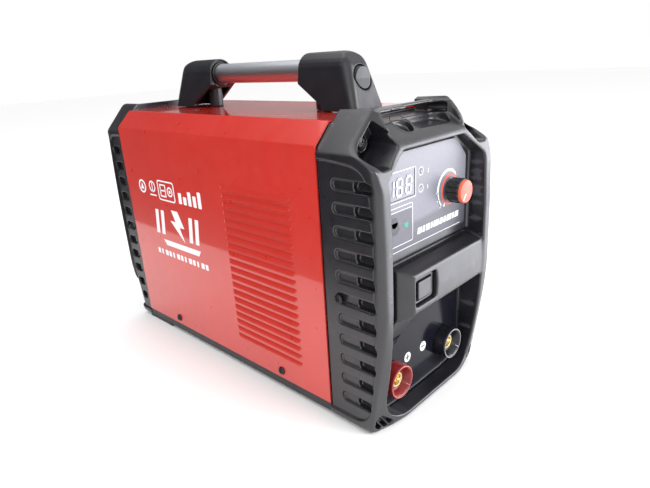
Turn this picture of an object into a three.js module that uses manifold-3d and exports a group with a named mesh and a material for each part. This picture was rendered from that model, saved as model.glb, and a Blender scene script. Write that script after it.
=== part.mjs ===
// Stick welding inverter: a folded steel cover between two moulded end bezels, a carrying handle on
// top, and the power electronics on a base tray inside.
//
// Millimetres. +X is to the right seen from the front, +Y runs from the front to the rear, +Z is up.
// The drawing frame has y = 0 at the seam of front bezel and cover, and z = 0 at the cover's lower
// edge. The last lines move everything so that the origin is under the middle, on the ground.

import * as THREE from 'three';
import { mergeVertices } from 'three/addons/utils/BufferGeometryUtils.js';
import Module from 'manifold-3d';

const wasm = await Module();
wasm.setup();

// ---------------------------------------------------------------- driving dimensions

const GAP = 0.3;                 // between pieces that touch

const COVER_LENGTH = 301.2;
const COVER_HALF = 77.8;         // half the cover's width
const BEND_Z = 217.5;            // where the side turns into the chamfer
const TOP_Z = 233.7;             // cover's top
const SHEET = 1.2;               // sheet steel

const RIM_HALF = 79;             // half the width over the bezel rims
const RIB_HALF = 77;             // half the width over the ribbed sides
const GROUND_Z = -12;            // underside of the bezels, on which the machine stands
const CAP_LOW_Z = 212.5;         // lower and upper edge of the 45 degree corner caps
const CAP_TOP_Z = 241;
const CAP_TOP_HALF = 50.5;
const FRONT_DEPTH = 60;
const REAR_DEPTH = 37;
const WALL = 3;                  // moulded walls

const RIB_COUNT = 11;
const RIB_LOW_Z = 14;
const RIB_PITCH = 17.75;
const SLOT_HEIGHT = 5;
const SLOT_DEEP = 3.5;

const OPENING_HALF = 66;         // the front opening between the columns
const OPENING_LOW_Z = -6;
const OPENING_TOP_Z = 213;
const STRUT_LOW_Z = 195;         // the corner struts cut the opening's upper corners
const STRUT_TOP_HALF = 42;
const PANEL_Y = -42;             // floor of the control recess
const FLOOR_Y = -35;             // floor of the socket recess
const LEDGE_Z = 130;             // step between the two floors

const BAND_LOW_Z = 86;
const BAND_TOP_Z = 118;
const BAND_FRONT_Y = -58.5;
const BAND_LEFT_X = -38;

const TUBE_R = 9.5;
const TUBE_Z = 266.7;
const SUPPORT_FACE_FRONT = 78.5; // the supports' open faces, where the bare tube begins
const SUPPORT_FACE_REAR = 207;
const SUPPORT_LENGTH = 69.5;
const ARCH_R = 14.8;
const SUPPORT_FOOT_HALF = 20;

const SOCKET_X = 39.5;
const SOCKET_Z = 20.6;
const SOCKET_R = 14.5;
const KNOB_X = 33;
const KNOB_Z = 168;
const KNOB_R = 10.5;
const FAN_Z = 100;
const FAN_SIZE = 92;

// ---------------------------------------------------------------- materials

function paint(color, roughness, metalness = 0) {
  return { color, roughness, metalness };
}

const BLACK_PLASTIC = paint(0x33323a, 0.5);
const RED_PAINT = paint(0xc0261c, 0.25, 0.1);
const BLACK_STEEL = paint(0x1c1c20, 0.45, 0.4);
const ALUMINIUM = paint(0xb4b6bb, 0.35, 1);
const BRASS = paint(0xc9a24a, 0.3, 1);
const SCREW_STEEL = paint(0x26262a, 0.4, 0.8);
const LABEL_FILM = paint(0xa8a8b2, 0.45, 0.2);
const DARK_GLASS = paint(0x3a3b44, 0.15);
const GREEN_BOARD = paint(0x1f5a3a, 0.6);
const COPPER = paint(0xb06a3a, 0.35, 1);
const FERRITE = paint(0x3c3c3e, 0.8);
const RED_PLASTIC = paint(0xb32a22, 0.35);
const CORAL_PLASTIC = paint(0xe0523c, 0.45);
const NYLON = paint(0x1a1a1c, 0.55);
const CAN_SLEEVE = paint(0x2b2f3a, 0.4);

// ---------------------------------------------------------------- solids from three.js geometry

// A closed three.js geometry as a manifold solid.
function solid(geometry) {
  const bare = geometry.clone();
  bare.deleteAttribute('normal');
  bare.deleteAttribute('uv');
  const merged = mergeVertices(bare, 1e-4);
  return new wasm.Manifold(new wasm.Mesh({
    numProp: 3,
    vertProperties: new Float32Array(merged.attributes.position.array),
    triVerts: new Uint32Array(merged.index.array),
  }));
}

function box([x0, x1], [y0, y1], [z0, z1]) {
  const geometry = new THREE.BoxGeometry(x1 - x0, y1 - y0, z1 - z0);
  geometry.translate((x0 + x1) / 2, (y0 + y1) / 2, (z0 + z1) / 2);
  return solid(geometry);
}

// An outline of [u, v, corner radius] points, with the corners rounded.
function outline(points, steps = 3) {
  const path = [];
  const count = points.length;
  points.forEach(([u, v, radius = 0], i) => {
    const corner = new THREE.Vector2(u, v);
    if (radius === 0) {
      path.push(corner);
      return;
    }
    const before = new THREE.Vector2(...points[(i + count - 1) % count].slice(0, 2)).sub(corner);
    const after = new THREE.Vector2(...points[(i + 1) % count].slice(0, 2)).sub(corner);
    const half = before.angleTo(after) / 2;
    const reach = Math.min(radius / Math.tan(half), before.length() / 2.01, after.length() / 2.01);
    const from = before.setLength(reach).add(corner);
    const to = after.setLength(reach).add(corner);
    const curve = new THREE.QuadraticBezierCurve(from, corner, to);
    path.push(...curve.getPoints(steps));
  });
  return new THREE.Shape(path);
}

const ALONG = {
  X: new THREE.Matrix4().makeBasis(
    new THREE.Vector3(0, 1, 0), new THREE.Vector3(0, 0, 1), new THREE.Vector3(1, 0, 0)),
  Y: new THREE.Matrix4().makeBasis(
    new THREE.Vector3(1, 0, 0), new THREE.Vector3(0, 0, 1), new THREE.Vector3(0, -1, 0)),
  Z: new THREE.Matrix4(),
};

// A prism of an outline. Along X the outline is (y, z), along Y it is (x, z), along Z it is (x, y).
function prism(axis, points, low, high, steps = 3) {
  const shape = outline(points, steps);
  const geometry = new THREE.ExtrudeGeometry(shape, { depth: high - low, bevelEnabled: false });
  geometry.translate(0, 0, axis === 'Y' ? -high : low);
  geometry.applyMatrix4(ALONG[axis]);
  return solid(geometry);
}

// A round bar or ring. The profile is [radius, height] pairs and turns about the axis.
function turned(axis, profile, [a, b], segments = 24) {
  const points = profile.map(([radius, height]) => new THREE.Vector2(radius, height));
  const geometry = new THREE.LatheGeometry(points, segments);
  if (axis === 'X') {
    geometry.rotateZ(-Math.PI / 2);
    geometry.translate(0, a, b);
  } else if (axis === 'Y') {
    geometry.translate(a, 0, b);
  } else {
    geometry.rotateX(Math.PI / 2);
    geometry.translate(a, b, 0);
  }
  return solid(geometry);
}

function rod(axis, radius, low, high, centre, segments = 24) {
  return turned(axis, [[0, low], [radius, low], [radius, high], [0, high]], centre, segments);
}

function joined(solids) {
  return solids.reduce((sum, piece) => sum.add(piece));
}

const object = new THREE.Group();

// Put a solid into the group as a named mesh. A moving piece is given the point it turns about.
function add(name, piece, { color, roughness, metalness }, pivot = [0, 0, 0]) {
  const shifted = piece.translate(pivot.map((value) => -value));
  const { vertProperties, triVerts } = shifted.getMesh();
  const geometry = new THREE.BufferGeometry();
  geometry.setAttribute('position', new THREE.BufferAttribute(vertProperties, 3));
  geometry.setIndex(new THREE.BufferAttribute(triVerts, 1));
  geometry.computeVertexNormals();
  const mesh = new THREE.Mesh(
    geometry, new THREE.MeshStandardMaterial({ color, roughness, metalness }));
  mesh.name = name;
  mesh.position.set(...pivot);
  object.add(mesh);
}

// ---------------------------------------------------------------- outlines shared by the shells

// The bezels' outline seen from the front, drawn in by an inset.
function bezelOutline(inset = 0) {
  const half = RIM_HALF - inset;
  const cut = inset * 0.41;
  return [
    [-half, GROUND_Z + inset, 10], [half, GROUND_Z + inset, 10],
    [half, CAP_LOW_Z - cut, 4], [CAP_TOP_HALF - cut, CAP_TOP_Z - inset, 5],
    [-CAP_TOP_HALF + cut, CAP_TOP_Z - inset, 5], [-half, CAP_LOW_Z - cut, 4],
  ];
}

// The folded cover's outline seen from the front, drawn in by an inset.
function coverOutline(inset, lowZ) {
  const half = COVER_HALF - inset;
  const cut = inset * 0.41;
  const topHalf = COVER_HALF - (TOP_Z - BEND_Z) - cut;
  return [
    [-half, lowZ], [half, lowZ], [half, BEND_Z - cut, 2],
    [topHalf, TOP_Z - inset, 2], [-topHalf, TOP_Z - inset, 2], [-half, BEND_Z - cut, 2],
  ];
}

// Both mirror images of a solid that lies on the +X side.
function bothSides(piece) {
  return piece.add(piece.mirror([1, 0, 0]));
}

// ---------------------------------------------------------------- front bezel

// The front's bowed side view, (y, z).
const FRONT_PROFILE = [
  [0, GROUND_Z], [-51, GROUND_Z, 5], [-56, 50, 60], [-FRONT_DEPTH, 110, 80], [-57, 170, 60],
  [-47, 213, 10], [-36, 232, 6], [-21, 243.5, 6], [-14, CAP_TOP_Z], [0, CAP_TOP_Z],
];

// Its rounded vertical edges seen from above, (x, y).
const FRONT_PLAN = [
  [RIM_HALF, 1], [RIM_HALF, -58, 24], [62, -70, 6], [-62, -70, 6], [-RIM_HALF, -58, 24],
  [-RIM_HALF, 1],
];

// Rounded slots between the ribs, cut into both sides.
function ribSlots(fromY, toY) {
  const slots = [];
  for (let i = 0; i < RIB_COUNT; i += 1) {
    const z = RIB_LOW_Z + i * RIB_PITCH;
    const half = SLOT_HEIGHT / 2;
    const round = half * 0.9;
    const shape = [
      [fromY, z - half, round], [toY, z - half, round], [toY, z + half, round],
      [fromY, z + half, round],
    ];
    slots.push(bothSides(prism('X', shape, RIB_HALF - SLOT_DEEP, RIM_HALF + 5, 1)));
  }
  return joined(slots);
}

// The shallow field on both sides that holds the ribs, below the caps.
function ribField(fromY, toY) {
  const shape = [
    [fromY, -4, 12], [toY, -4, 2], [toY, CAP_LOW_Z - 4, 2], [fromY, CAP_LOW_Z - 4, 12],
  ];
  return bothSides(prism('X', shape, RIB_HALF, RIM_HALF + 5));
}

// The front opening's outline, drawn in by an inset.
function openingOutline(inset) {
  const half = OPENING_HALF - inset;
  return [
    [-half, OPENING_LOW_Z + inset, 14], [half, OPENING_LOW_Z + inset, 14],
    [half, STRUT_LOW_Z - inset * 0.41, 6], [STRUT_TOP_HALF - inset * 0.41, OPENING_TOP_Z - inset, 6],
    [-STRUT_TOP_HALF + inset * 0.41, OPENING_TOP_Z - inset, 6], [-half, STRUT_LOW_Z - inset * 0.41, 6],
  ];
}

// The corner window between cap and strut, with the ledge that its screw sits on.
const WINDOW = [
  [46, 232, 2], [39, 219, 3], [64, 208.5], [72, 204.5, 3], [75, 214.5, 2], [59, 229],
];
const WINDOW_FLOOR_Y = -22;
const WINDOW_SCREW = [58, 218.5];

function frontBezel() {
  const blank = prism('Y', bezelOutline(), -FRONT_DEPTH - 5, 0)
    .intersect(prism('X', FRONT_PROFILE, -RIM_HALF - 1, RIM_HALF + 1, 5))
    .intersect(prism('Z', FRONT_PLAN, GROUND_Z - 1, CAP_TOP_Z + 5, 5));

  const hollow = prism('Y', bezelOutline(WALL + SLOT_DEEP), -31, 1)
    .subtract(box([-90, 90], [-40, 2], [TOP_Z - 12, 260]));
  const upperHollow = box([-54, 54], [PANEL_Y + WALL, -30], [LEDGE_Z + 4, 206]);
  const tongue = prism('Y', coverOutline(SHEET + 0.4, 14), -1, 7.5)
    .subtract(prism('Y', coverOutline(SHEET + 2.4, 13), -2, 8))
    .subtract(box([-90, 90], [-2, 9], [10, 14.2]));

  const upperRecess = prism('Y', openingOutline(0), -80, PANEL_Y)
    .intersect(box([-90, 90], [-80, PANEL_Y], [LEDGE_Z, 260]));
  const lowerRecess = prism('Y', openingOutline(0), -80, FLOOR_Y)
    .intersect(box([-90, 90], [-80, FLOOR_Y], [-50, LEDGE_Z]));
  const bandSide = [
    [FLOOR_Y + 2, 62], [BAND_FRONT_Y, BAND_LOW_Z, 3], [BAND_FRONT_Y, BAND_TOP_Z, 3],
    [-47, BAND_TOP_Z + 4], [FLOOR_Y + 2, BAND_TOP_Z + 4],
  ];
  const bandPlan = [
    [BAND_LEFT_X - 5, FLOOR_Y + 3], [BAND_LEFT_X - 5, -46], [BAND_LEFT_X, BAND_FRONT_Y, 2],
    [OPENING_HALF + 2, BAND_FRONT_Y], [OPENING_HALF + 2, FLOOR_Y + 3],
  ];
  const band = prism('X', bandSide, BAND_LEFT_X - 6, OPENING_HALF + 1)
    .intersect(prism('Z', bandPlan, 50, 140));

  // The scoop in the top, open under the bar to the cover behind.
  const scoop = prism('Z', [
    [-47, -60, 2], [47, -60, 2], [47, -21, 12], [20, -21, 1], [-47, -21, 3],
  ], 226, 260).intersect(prism('X', [
    [-60, 218], [-20, 228], [-20, 260], [-60, 260],
  ], -60, 60));
  const underBar = box([-44, 44], [-22, 1], [226, 236]);

  const windowPocket = bothSides(prism('Y', WINDOW, -70, WINDOW_FLOOR_Y));
  const lowerPocket = bothSides(prism('Y', [
    [50, -13, 1], [66, -13, 1], [73, -6, 2], [70, 3, 3], [62, -2, 3],
  ], -70, -30));
  const switchCutout = box([-36, -8], [-80, -46], [90.5, 113]);
  const screwHoles = bothSides(joined([
    rod('X', 2.2, RIB_HALF - 8, 90, [-15, 101.5], 10),
    rod('Y', 2.2, -30, 2, WINDOW_SCREW, 10),
  ]));
  const sockets = bothSides(rod('Y', SOCKET_R - 2 + GAP, -50, 2, [SOCKET_X, SOCKET_Z], 24));
  const knobHole = rod('Y', 4.2, -50, -20, [KNOB_X, KNOB_Z], 12);

  return blank
    .subtract(joined([hollow, upperHollow]))
    .add(tongue)
    .subtract(joined([upperRecess, lowerRecess]))
    .add(band)
    .subtract(joined([ribField(-46, 0.5), ribSlots(-50.4, -14), scoop, underBar]))
    .subtract(joined([windowPocket, lowerPocket, switchCutout, screwHoles, sockets, knobHole]));
}

// ---------------------------------------------------------------- rear bezel

const REAR_Y = COVER_LENGTH + REAR_DEPTH;
const REAR_PANEL_Y = REAR_Y - 14;      // outer face of the rear panel

// The rear's bowed side view, (y, z).
const REAR_PROFILE = [
  [COVER_LENGTH, GROUND_Z], [COVER_LENGTH, CAP_TOP_Z], [REAR_Y - 4, CAP_TOP_Z, 4],
  [REAR_Y - 6, 205, 20], [REAR_Y, 130, 80], [REAR_Y - 3, 60, 60], [REAR_Y - 17, GROUND_Z, 6],
];

const REAR_PLAN = [
  [-RIM_HALF, COVER_LENGTH - 1], [RIM_HALF, COVER_LENGTH - 1], [RIM_HALF, REAR_Y - 2, 16],
  [60, REAR_Y + 4, 4], [-60, REAR_Y + 4, 4], [-RIM_HALF, REAR_Y - 2, 16],
];

const POWER_SWITCH = { x: 40, z: 184, half: [11, 14.5] };
const GLAND = [-44, 186];
const EARTH = [48, 24];

function rearBezel() {
  const blank = prism('Y', bezelOutline(), COVER_LENGTH, REAR_Y + 5)
    .intersect(prism('X', REAR_PROFILE, -RIM_HALF - 1, RIM_HALF + 1, 5))
    .intersect(prism('Z', REAR_PLAN, GROUND_Z - 1, CAP_TOP_Z + 5, 5));

  const hollow = prism('Y', bezelOutline(WALL + SLOT_DEEP), COVER_LENGTH - 1, REAR_PANEL_Y - WALL)
    .subtract(box([-90, 90], [COVER_LENGTH - 2, REAR_Y], [TOP_Z - 4, 260]));
  const tongue = prism('Y', coverOutline(SHEET + 0.4, 14), COVER_LENGTH - 7.5, COVER_LENGTH + 1)
    .subtract(prism('Y', coverOutline(SHEET + 2.4, 13), COVER_LENGTH - 8, COVER_LENGTH + 2))
    .subtract(box([-90, 90], [COVER_LENGTH - 9, COVER_LENGTH + 2], [10, 14.2]));
  const recess = prism('Y', openingOutline(2), REAR_PANEL_Y, REAR_Y + 10);
  const feet = bothSides(box([56, 77], [256, COVER_LENGTH + 1], [GROUND_Z, -8.5 - GAP]));

  const windowPocket = bothSides(prism('Y', WINDOW, REAR_PANEL_Y, REAR_Y + 10));
  const screwHoles = bothSides(joined([
    rod('X', 2.2, RIB_HALF - 8, 90, [COVER_LENGTH + 12, 101.5], 10),
    rod('Y', 2.2, COVER_LENGTH + 2, REAR_Y, WINDOW_SCREW, 10),
  ]));
  const fanHole = rod('Y', FAN_SIZE / 2 - 4, REAR_PANEL_Y - 10, REAR_PANEL_Y + 1, [0, FAN_Z], 32);
  const { x, z, half } = POWER_SWITCH;
  const panelHoles = joined([
    box([x - half[0], x + half[0]], [REAR_PANEL_Y - 10, REAR_PANEL_Y + 1],
      [z - half[1], z + half[1]]),
    rod('Y', 8.3, REAR_PANEL_Y - 10, REAR_PANEL_Y + 1, GLAND, 16),
    rod('Y', 3.3, REAR_PANEL_Y - 10, REAR_PANEL_Y + 1, EARTH, 12),
  ]);

  return blank
    .subtract(hollow)
    .add(tongue)
    .add(feet)
    .subtract(recess)
    .subtract(joined([ribField(COVER_LENGTH - 0.5, REAR_Y - 12), windowPocket, screwHoles]))
    .subtract(ribSlots(COVER_LENGTH + 8, REAR_Y + 5))
    .subtract(joined([fanHole, panelHoles]));
}

// ---------------------------------------------------------------- cover and base tray

const LOUVRE_ROWS = 20;
const LOUVRE_Y = [34, 121.3];
const LOUVRE_Z = [24, 172.5];
const COVER_SCREW_Y = [61, 234];
const COVER_SCREW_Z = 7.5;
const HANDLE_SCREW_Y = { front: 62, rear: 223.5 };

function coverScrewHoles() {
  const holes = COVER_SCREW_Y.map((y) => rod('X', 2.2, 60, 90, [y, COVER_SCREW_Z], 10));
  return bothSides(joined(holes));
}

function topCover() {
  const span = [GAP, COVER_LENGTH - GAP];
  const shell = prism('Y', coverOutline(0, 0), ...span)
    .subtract(prism('Y', coverOutline(SHEET, -1), span[0] - 1, span[1] + 1));
  const louvres = [];
  const pitch = (LOUVRE_Z[1] - LOUVRE_Z[0]) / (LOUVRE_ROWS - 1);
  for (let row = 0; row < LOUVRE_ROWS; row += 1) {
    const z = LOUVRE_Z[0] + row * pitch;
    louvres.push(bothSides(box([70, 90], LOUVRE_Y, [z - 1.1, z + 1.1])));
  }
  const handleHoles = Object.values(HANDLE_SCREW_Y)
    .map((y) => rod('Z', 2.7, 200, 260, [0, y], 12));
  return shell.subtract(joined([...louvres, coverScrewHoles(), ...handleHoles]));
}

const TRAY_LOW_Z = -8.5;

function baseTray() {
  const span = [GAP, COVER_LENGTH - GAP];
  const floorZ = TRAY_LOW_Z + SHEET;
  const innerHalf = COVER_HALF - SHEET - GAP - 1.2;
  return box([-COVER_HALF + 0.6, COVER_HALF - 0.6], span, [TRAY_LOW_Z, -GAP])
    .add(box([-innerHalf - 1.2, innerHalf + 1.2], span, [-1, 12]))
    .subtract(box([-innerHalf, innerHalf], [-1, COVER_LENGTH + 1], [floorZ, 13]))
    .subtract(coverScrewHoles());
}

// ---------------------------------------------------------------- handle

const FOOT_Z = TOP_Z + GAP;
const BOSS_Y = -16;                    // the screw boss, from the support's open face
const PLUG_Z = 259.5;
const PLUG_R = 9;

// One support, drawn with its open face at y = 0 and its closed end towards -Y.
function handleSupport() {
  const arch = [
    [-SUPPORT_FOOT_HALF, FOOT_Z], [SUPPORT_FOOT_HALF, FOOT_Z], [ARCH_R, 262],
    [ARCH_R, 272, 6], [9, 281.3, 6], [-9, 281.3, 6], [-ARCH_R, 272, 6], [-ARCH_R, 262],
  ];
  const side = [
    [0, 256.5], [0, 283], [-36, 283], [-55, 273, 10], [-SUPPORT_LENGTH, FOOT_Z],
    [-30, FOOT_Z], [-29, 238],
  ];
  const nose = [
    [SUPPORT_FOOT_HALF + 1, 1], [-SUPPORT_FOOT_HALF - 1, 1], [-SUPPORT_FOOT_HALF - 1, -52],
    [-12, -SUPPORT_LENGTH - 2], [12, -SUPPORT_LENGTH - 2], [SUPPORT_FOOT_HALF + 1, -52],
  ];
  const body = prism('Y', arch, -SUPPORT_LENGTH - 1, 0)
    .intersect(prism('X', side, -30, 30, 4))
    .intersect(prism('Z', nose, 200, 300));
  const bore = rod('Y', TUBE_R + GAP, -44, 1, [0, TUBE_Z], 20);
  const groove = rod('Y', 12.8, -2.5, 1, [0, TUBE_Z], 20)
    .subtract(rod('Y', 11.4, -3, 2, [0, TUBE_Z], 20));
  const hollow = prism('X', [
    [-4, 253], [-31, 231], [-56, 231], [-50, 251, 3], [-7, 253],
  ], -12, 12);
  const boss = rod('Z', 7, FOOT_Z, 254, [0, BOSS_Y], 14);
  const screwHole = rod('Z', 2.2, 225, 247, [0, BOSS_Y], 10);
  const plugSeat = rod('Y', PLUG_R + GAP, -80, -55, [0, PLUG_Z], 18);
  return body.subtract(joined([bore, groove, hollow])).add(boss)
    .subtract(joined([screwHole, plugSeat]));
}

// Turn a piece drawn for the front support to face the other way, for the rear one.
function placeSupport(piece, place) {
  if (place === 'front') return piece.translate([0, SUPPORT_FACE_FRONT, 0]);
  return piece.mirror([0, 1, 0]).translate([0, SUPPORT_FACE_REAR, 0]);
}

const TUBE_WALL = 1.5;

function handleTube() {
  const inner = TUBE_R - TUBE_WALL;
  const low = SUPPORT_FACE_FRONT - 43;
  const high = SUPPORT_FACE_REAR + 43;
  const profile = [[inner, low], [TUBE_R, low], [TUBE_R, high], [inner, high], [inner, low]];
  return turned('Y', profile, [0, TUBE_Z], 24);
}

// A cross-head screw with its head's face at height 0 and its shank below it.
function screw(headR, headHeight, shankR, shankLength, segments = 10) {
  const profile = [
    [0, -shankLength - headHeight], [shankR, -shankLength - headHeight], [shankR, -headHeight],
    [headR, -headHeight], [headR * 0.8, 0], [0, 0],
  ];
  const arm = headR * 0.55;
  const width = headR * 0.12;
  const deep = headHeight * 0.6;
  return turned('Z', profile, [0, 0], segments)
    .subtract(box([-arm, arm], [-width, width], [-deep, 1]))
    .subtract(box([-width, width], [-arm, arm], [-deep, 1]));
}

function buildScrews() {
  const sides = { left: -1, right: 1 };
  const tapping = screw(4, 2.2, 1.8, 7);
  Object.entries(sides).forEach(([side, sign]) => {
    const faceOut = (piece) => piece.rotate([0, 90 * sign, 0]);
    const coverX = sign * (COVER_HALF + 2.2 + GAP);
    COVER_SCREW_Y.forEach((y, i) => {
      const name = `cover_screw_${side}_${i === 0 ? 'front' : 'rear'}`;
      add(name, faceOut(tapping).translate([coverX, y, COVER_SCREW_Z]), SCREW_STEEL);
    });
    const bezelX = sign * (RIB_HALF + 2.2 + GAP);
    add(`bezel_screw_${side}_front`,
      faceOut(tapping).translate([bezelX, -15, 101.5]), SCREW_STEEL);
    add(`bezel_screw_${side}_rear`,
      faceOut(tapping).translate([bezelX, COVER_LENGTH + 12, 101.5]), SCREW_STEEL);
    const [x, z] = WINDOW_SCREW;
    const corner = screw(5, 3, 1.8, 7);
    add(`corner_screw_${side}_front`, corner.rotate([90, 0, 0])
      .translate([sign * x, WINDOW_FLOOR_Y - 3 - GAP, z]), SCREW_STEEL);
    add(`corner_screw_${side}_rear`, corner.rotate([-90, 0, 0])
      .translate([sign * x, REAR_PANEL_Y + 3 + GAP, z]), SCREW_STEEL);
  });
}

// ---------------------------------------------------------------- front controls

const LABEL_Y = PANEL_Y - GAP;         // rear face of the label plate
const LABEL_THICK = 1.6;
const DISPLAY = { x: [-60, -17], z: [174.8, 196.2] };
const LED_X = -9;
const LED_Z = { thermal_led: 191.3, power_led: 178 };

function controlPanel() {
  const half = 58;
  const plate = prism('Y', [
    [-half, 133.5, 3], [half, 133.5, 3], [half, 193], [half - 16, 209.5], [-half + 16, 209.5],
    [-half, 193],
  ], LABEL_Y - LABEL_THICK, LABEL_Y);
  const window = box(DISPLAY.x, [-60, -30], DISPLAY.z);
  const shaftHole = rod('Y', 4.2, -60, -30, [KNOB_X, KNOB_Z], 12);
  const ledHoles = Object.values(LED_Z).map((z) => rod('Y', 1.9, -60, -30, [LED_X, z], 12));
  return plate.subtract(joined([window, shaftHole, ...ledHoles]));
}

function displayModule() {
  const inset = GAP;
  return box([DISPLAY.x[0] + inset, DISPLAY.x[1] - inset], [LABEL_Y - LABEL_THICK + 0.4, LABEL_Y],
    [DISPLAY.z[0] + inset, DISPLAY.z[1] - inset]);
}

// The knob turns about the potentiometer's shaft. It points down to the left at its lowest setting.
const KNOB_FRONT_Y = -60;
const KNOB_BACK_Y = -46.5;
const KNOB_PIVOT = [KNOB_X, KNOB_BACK_Y, KNOB_Z];

function knob() {
  const skirt = turned('Y', [
    [0, KNOB_FRONT_Y + 3], [KNOB_R - 0.6, KNOB_FRONT_Y + 3], [KNOB_R, KNOB_FRONT_Y + 3.6],
    [KNOB_R, KNOB_BACK_Y], [0, KNOB_BACK_Y],
  ], [KNOB_X, KNOB_Z], 28);
  const flutes = [];
  const fluteCount = 14;
  for (let i = 0; i < fluteCount; i += 1) {
    const angle = (i / fluteCount) * 2 * Math.PI;
    const place = [KNOB_X + Math.cos(angle) * KNOB_R, KNOB_Z + Math.sin(angle) * KNOB_R];
    flutes.push(rod('Y', 0.8, KNOB_FRONT_Y + 5, KNOB_BACK_Y + 1, place, 4));
  }
  const shaftBore = rod('Y', 3 + GAP, KNOB_BACK_Y - 8, KNOB_BACK_Y + 1, [KNOB_X, KNOB_Z], 16);
  return skirt.subtract(joined([...flutes, shaftBore]));
}

function knobCap() {
  const radius = KNOB_R - 0.8;
  const disc = rod('Y', radius, KNOB_FRONT_Y, KNOB_FRONT_Y + 3 - GAP, [KNOB_X, KNOB_Z], 24);
  const pointer = box([KNOB_X - 0.6, KNOB_X + 0.6], [KNOB_FRONT_Y - 1, KNOB_FRONT_Y + 0.5],
    [KNOB_Z - radius - 1, KNOB_Z - 2]);
  const turn = new THREE.Vector2(KNOB_X, KNOB_Z);
  const turnedPointer = pointer.translate([-turn.x, 0, -turn.y]).rotate([0, 40, 0])
    .translate([turn.x, 0, turn.y]);
  return disc.subtract(turnedPointer);
}

function potentiometer() {
  const centre = [KNOB_X, KNOB_Z];
  return joined([
    rod('Y', 8.5, PANEL_Y + WALL + GAP, PANEL_Y + 14, centre),
    rod('Y', 3.8, LABEL_Y - LABEL_THICK - 1.5, PANEL_Y + WALL + 1, centre, 16),
    rod('Y', 3, KNOB_BACK_Y - 7.5, LABEL_Y, centre, 16),
  ]);
}

// A snap-in blank fills the unused switch cut-out in the band.
function switchBlank() {
  const outer = [
    [-35.7, 90.8, 2], [-8.3, 90.8, 2], [-8.3, 112.7, 2], [-35.7, 112.7, 2],
  ];
  const raised = [
    [-31, 93.5, 2], [-13, 93.5, 2], [-13, 110.5, 2], [-31, 110.5, 2],
  ];
  return prism('Y', outer, BAND_FRONT_Y + 4, -46.5, 2)
    .add(prism('Y', raised, BAND_FRONT_Y + 1, -50, 2));
}

// ---------------------------------------------------------------- welding sockets

const SOCKET_FRONT_Y = -47;

function socketInsulator(x) {
  const centre = [x, SOCKET_Z];
  const front = turned('Y', [
    [0, SOCKET_FRONT_Y + 8], [10, SOCKET_FRONT_Y + 8], [12.6, SOCKET_FRONT_Y + 0.4],
    [13.4, SOCKET_FRONT_Y], [SOCKET_R, SOCKET_FRONT_Y + 0.8], [SOCKET_R, FLOOR_Y - GAP],
    [0, FLOOR_Y - GAP],
  ], centre, 24);
  const neck = rod('Y', SOCKET_R - 2, FLOOR_Y - 1, -22, centre, 20);
  const bore = rod('Y', 6.6 + GAP, -60, -10, centre, 16);
  return front.add(neck).subtract(bore);
}

// The brass insert that takes the cable plug, with the keyway beside its bore.
function socketContact(x) {
  const centre = [x, SOCKET_Z];
  const body = turned('Y', [
    [0, SOCKET_FRONT_Y + 2], [6, SOCKET_FRONT_Y + 2], [6.6, SOCKET_FRONT_Y + 2.6], [6.6, -14],
    [0, -14],
  ], centre, 16);
  const bore = rod('Y', 4.6, -60, -24, centre, 14);
  const keyway = box([x + 3, x + 6], [-60, SOCKET_FRONT_Y + 9], [SOCKET_Z - 1.2, SOCKET_Z + 1.2]);
  return body.subtract(bore.add(keyway));
}

function busbar(x) {
  const inward = x < 0 ? 1 : -1;
  const strap = box([x - 9, x + 9], [-13.7, -11.7], [10, 60]);
  const tail = box([x - 9, x + 9], [-13.7, 40], [58, 60]);
  return strap.add(tail).translate([inward * 2, 0, 0]);
}

// ---------------------------------------------------------------- fan and rear panel parts

const FAN_BACK_Y = REAR_PANEL_Y - WALL - GAP;
const FAN_THICK = 25;
const FAN_MID_Y = FAN_BACK_Y - FAN_THICK / 2;

function fanFrame() {
  const half = FAN_SIZE / 2;
  const span = [FAN_BACK_Y - FAN_THICK, FAN_BACK_Y];
  const frame = prism('Y', [
    [-half, FAN_Z - half, 5], [half, FAN_Z - half, 5], [half, FAN_Z + half, 5],
    [-half, FAN_Z + half, 5],
  ], ...span, 2).subtract(rod('Y', half - 2, span[0] - 1, span[1] + 1, [0, FAN_Z], 36));
  const motor = rod('Y', 17, span[0], span[0] + 4, [0, FAN_Z]);
  const arms = [0, 1, 2, 3].map((i) => box([-3, 3], [span[0], span[0] + 4], [12, half + 1])
    .rotate([0, 45 + 90 * i, 0]).translate([0, 0, FAN_Z]));
  return frame.add(joined([motor, ...arms]));
}

function fanRotor() {
  const centre = [0, FAN_Z];
  const low = FAN_BACK_Y - FAN_THICK + 5;
  const hub = rod('Y', 18, low, FAN_BACK_Y - 1.5, centre);
  const bladeCount = 7;
  const blades = [];
  for (let i = 0; i < bladeCount; i += 1) {
    const blade = box([-0.9, 0.9], [low - FAN_MID_Y + 1, FAN_BACK_Y - FAN_MID_Y - 2], [16, 42])
      .rotate([0, 0, 38]).rotate([0, (360 / bladeCount) * i, 0]);
    blades.push(blade.translate([0, FAN_MID_Y, FAN_Z]));
  }
  const slab = rod('Y', 42.5, low, FAN_BACK_Y - 1.5, centre, 36);
  return hub.add(joined(blades)).intersect(slab);
}

// Wire rings on a cross, screwed over the fan's opening.
function fanGuard() {
  const low = REAR_PANEL_Y + GAP;
  const rings = [14, 24, 34, 44].map((radius) => turned('Y', [
    [radius - 1, low + 1.2], [radius + 1, low + 1.2], [radius + 1, low + 3],
    [radius - 1, low + 3], [radius - 1, low + 1.2],
  ], [0, FAN_Z], 20));
  const arms = [0, 1, 2, 3].map((i) => box([-2, 2], [low, low + 2], [0, 58])
    .rotate([0, 45 + 90 * i, 0]).translate([0, 0, FAN_Z]));
  return joined([...rings, ...arms]);
}

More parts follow.
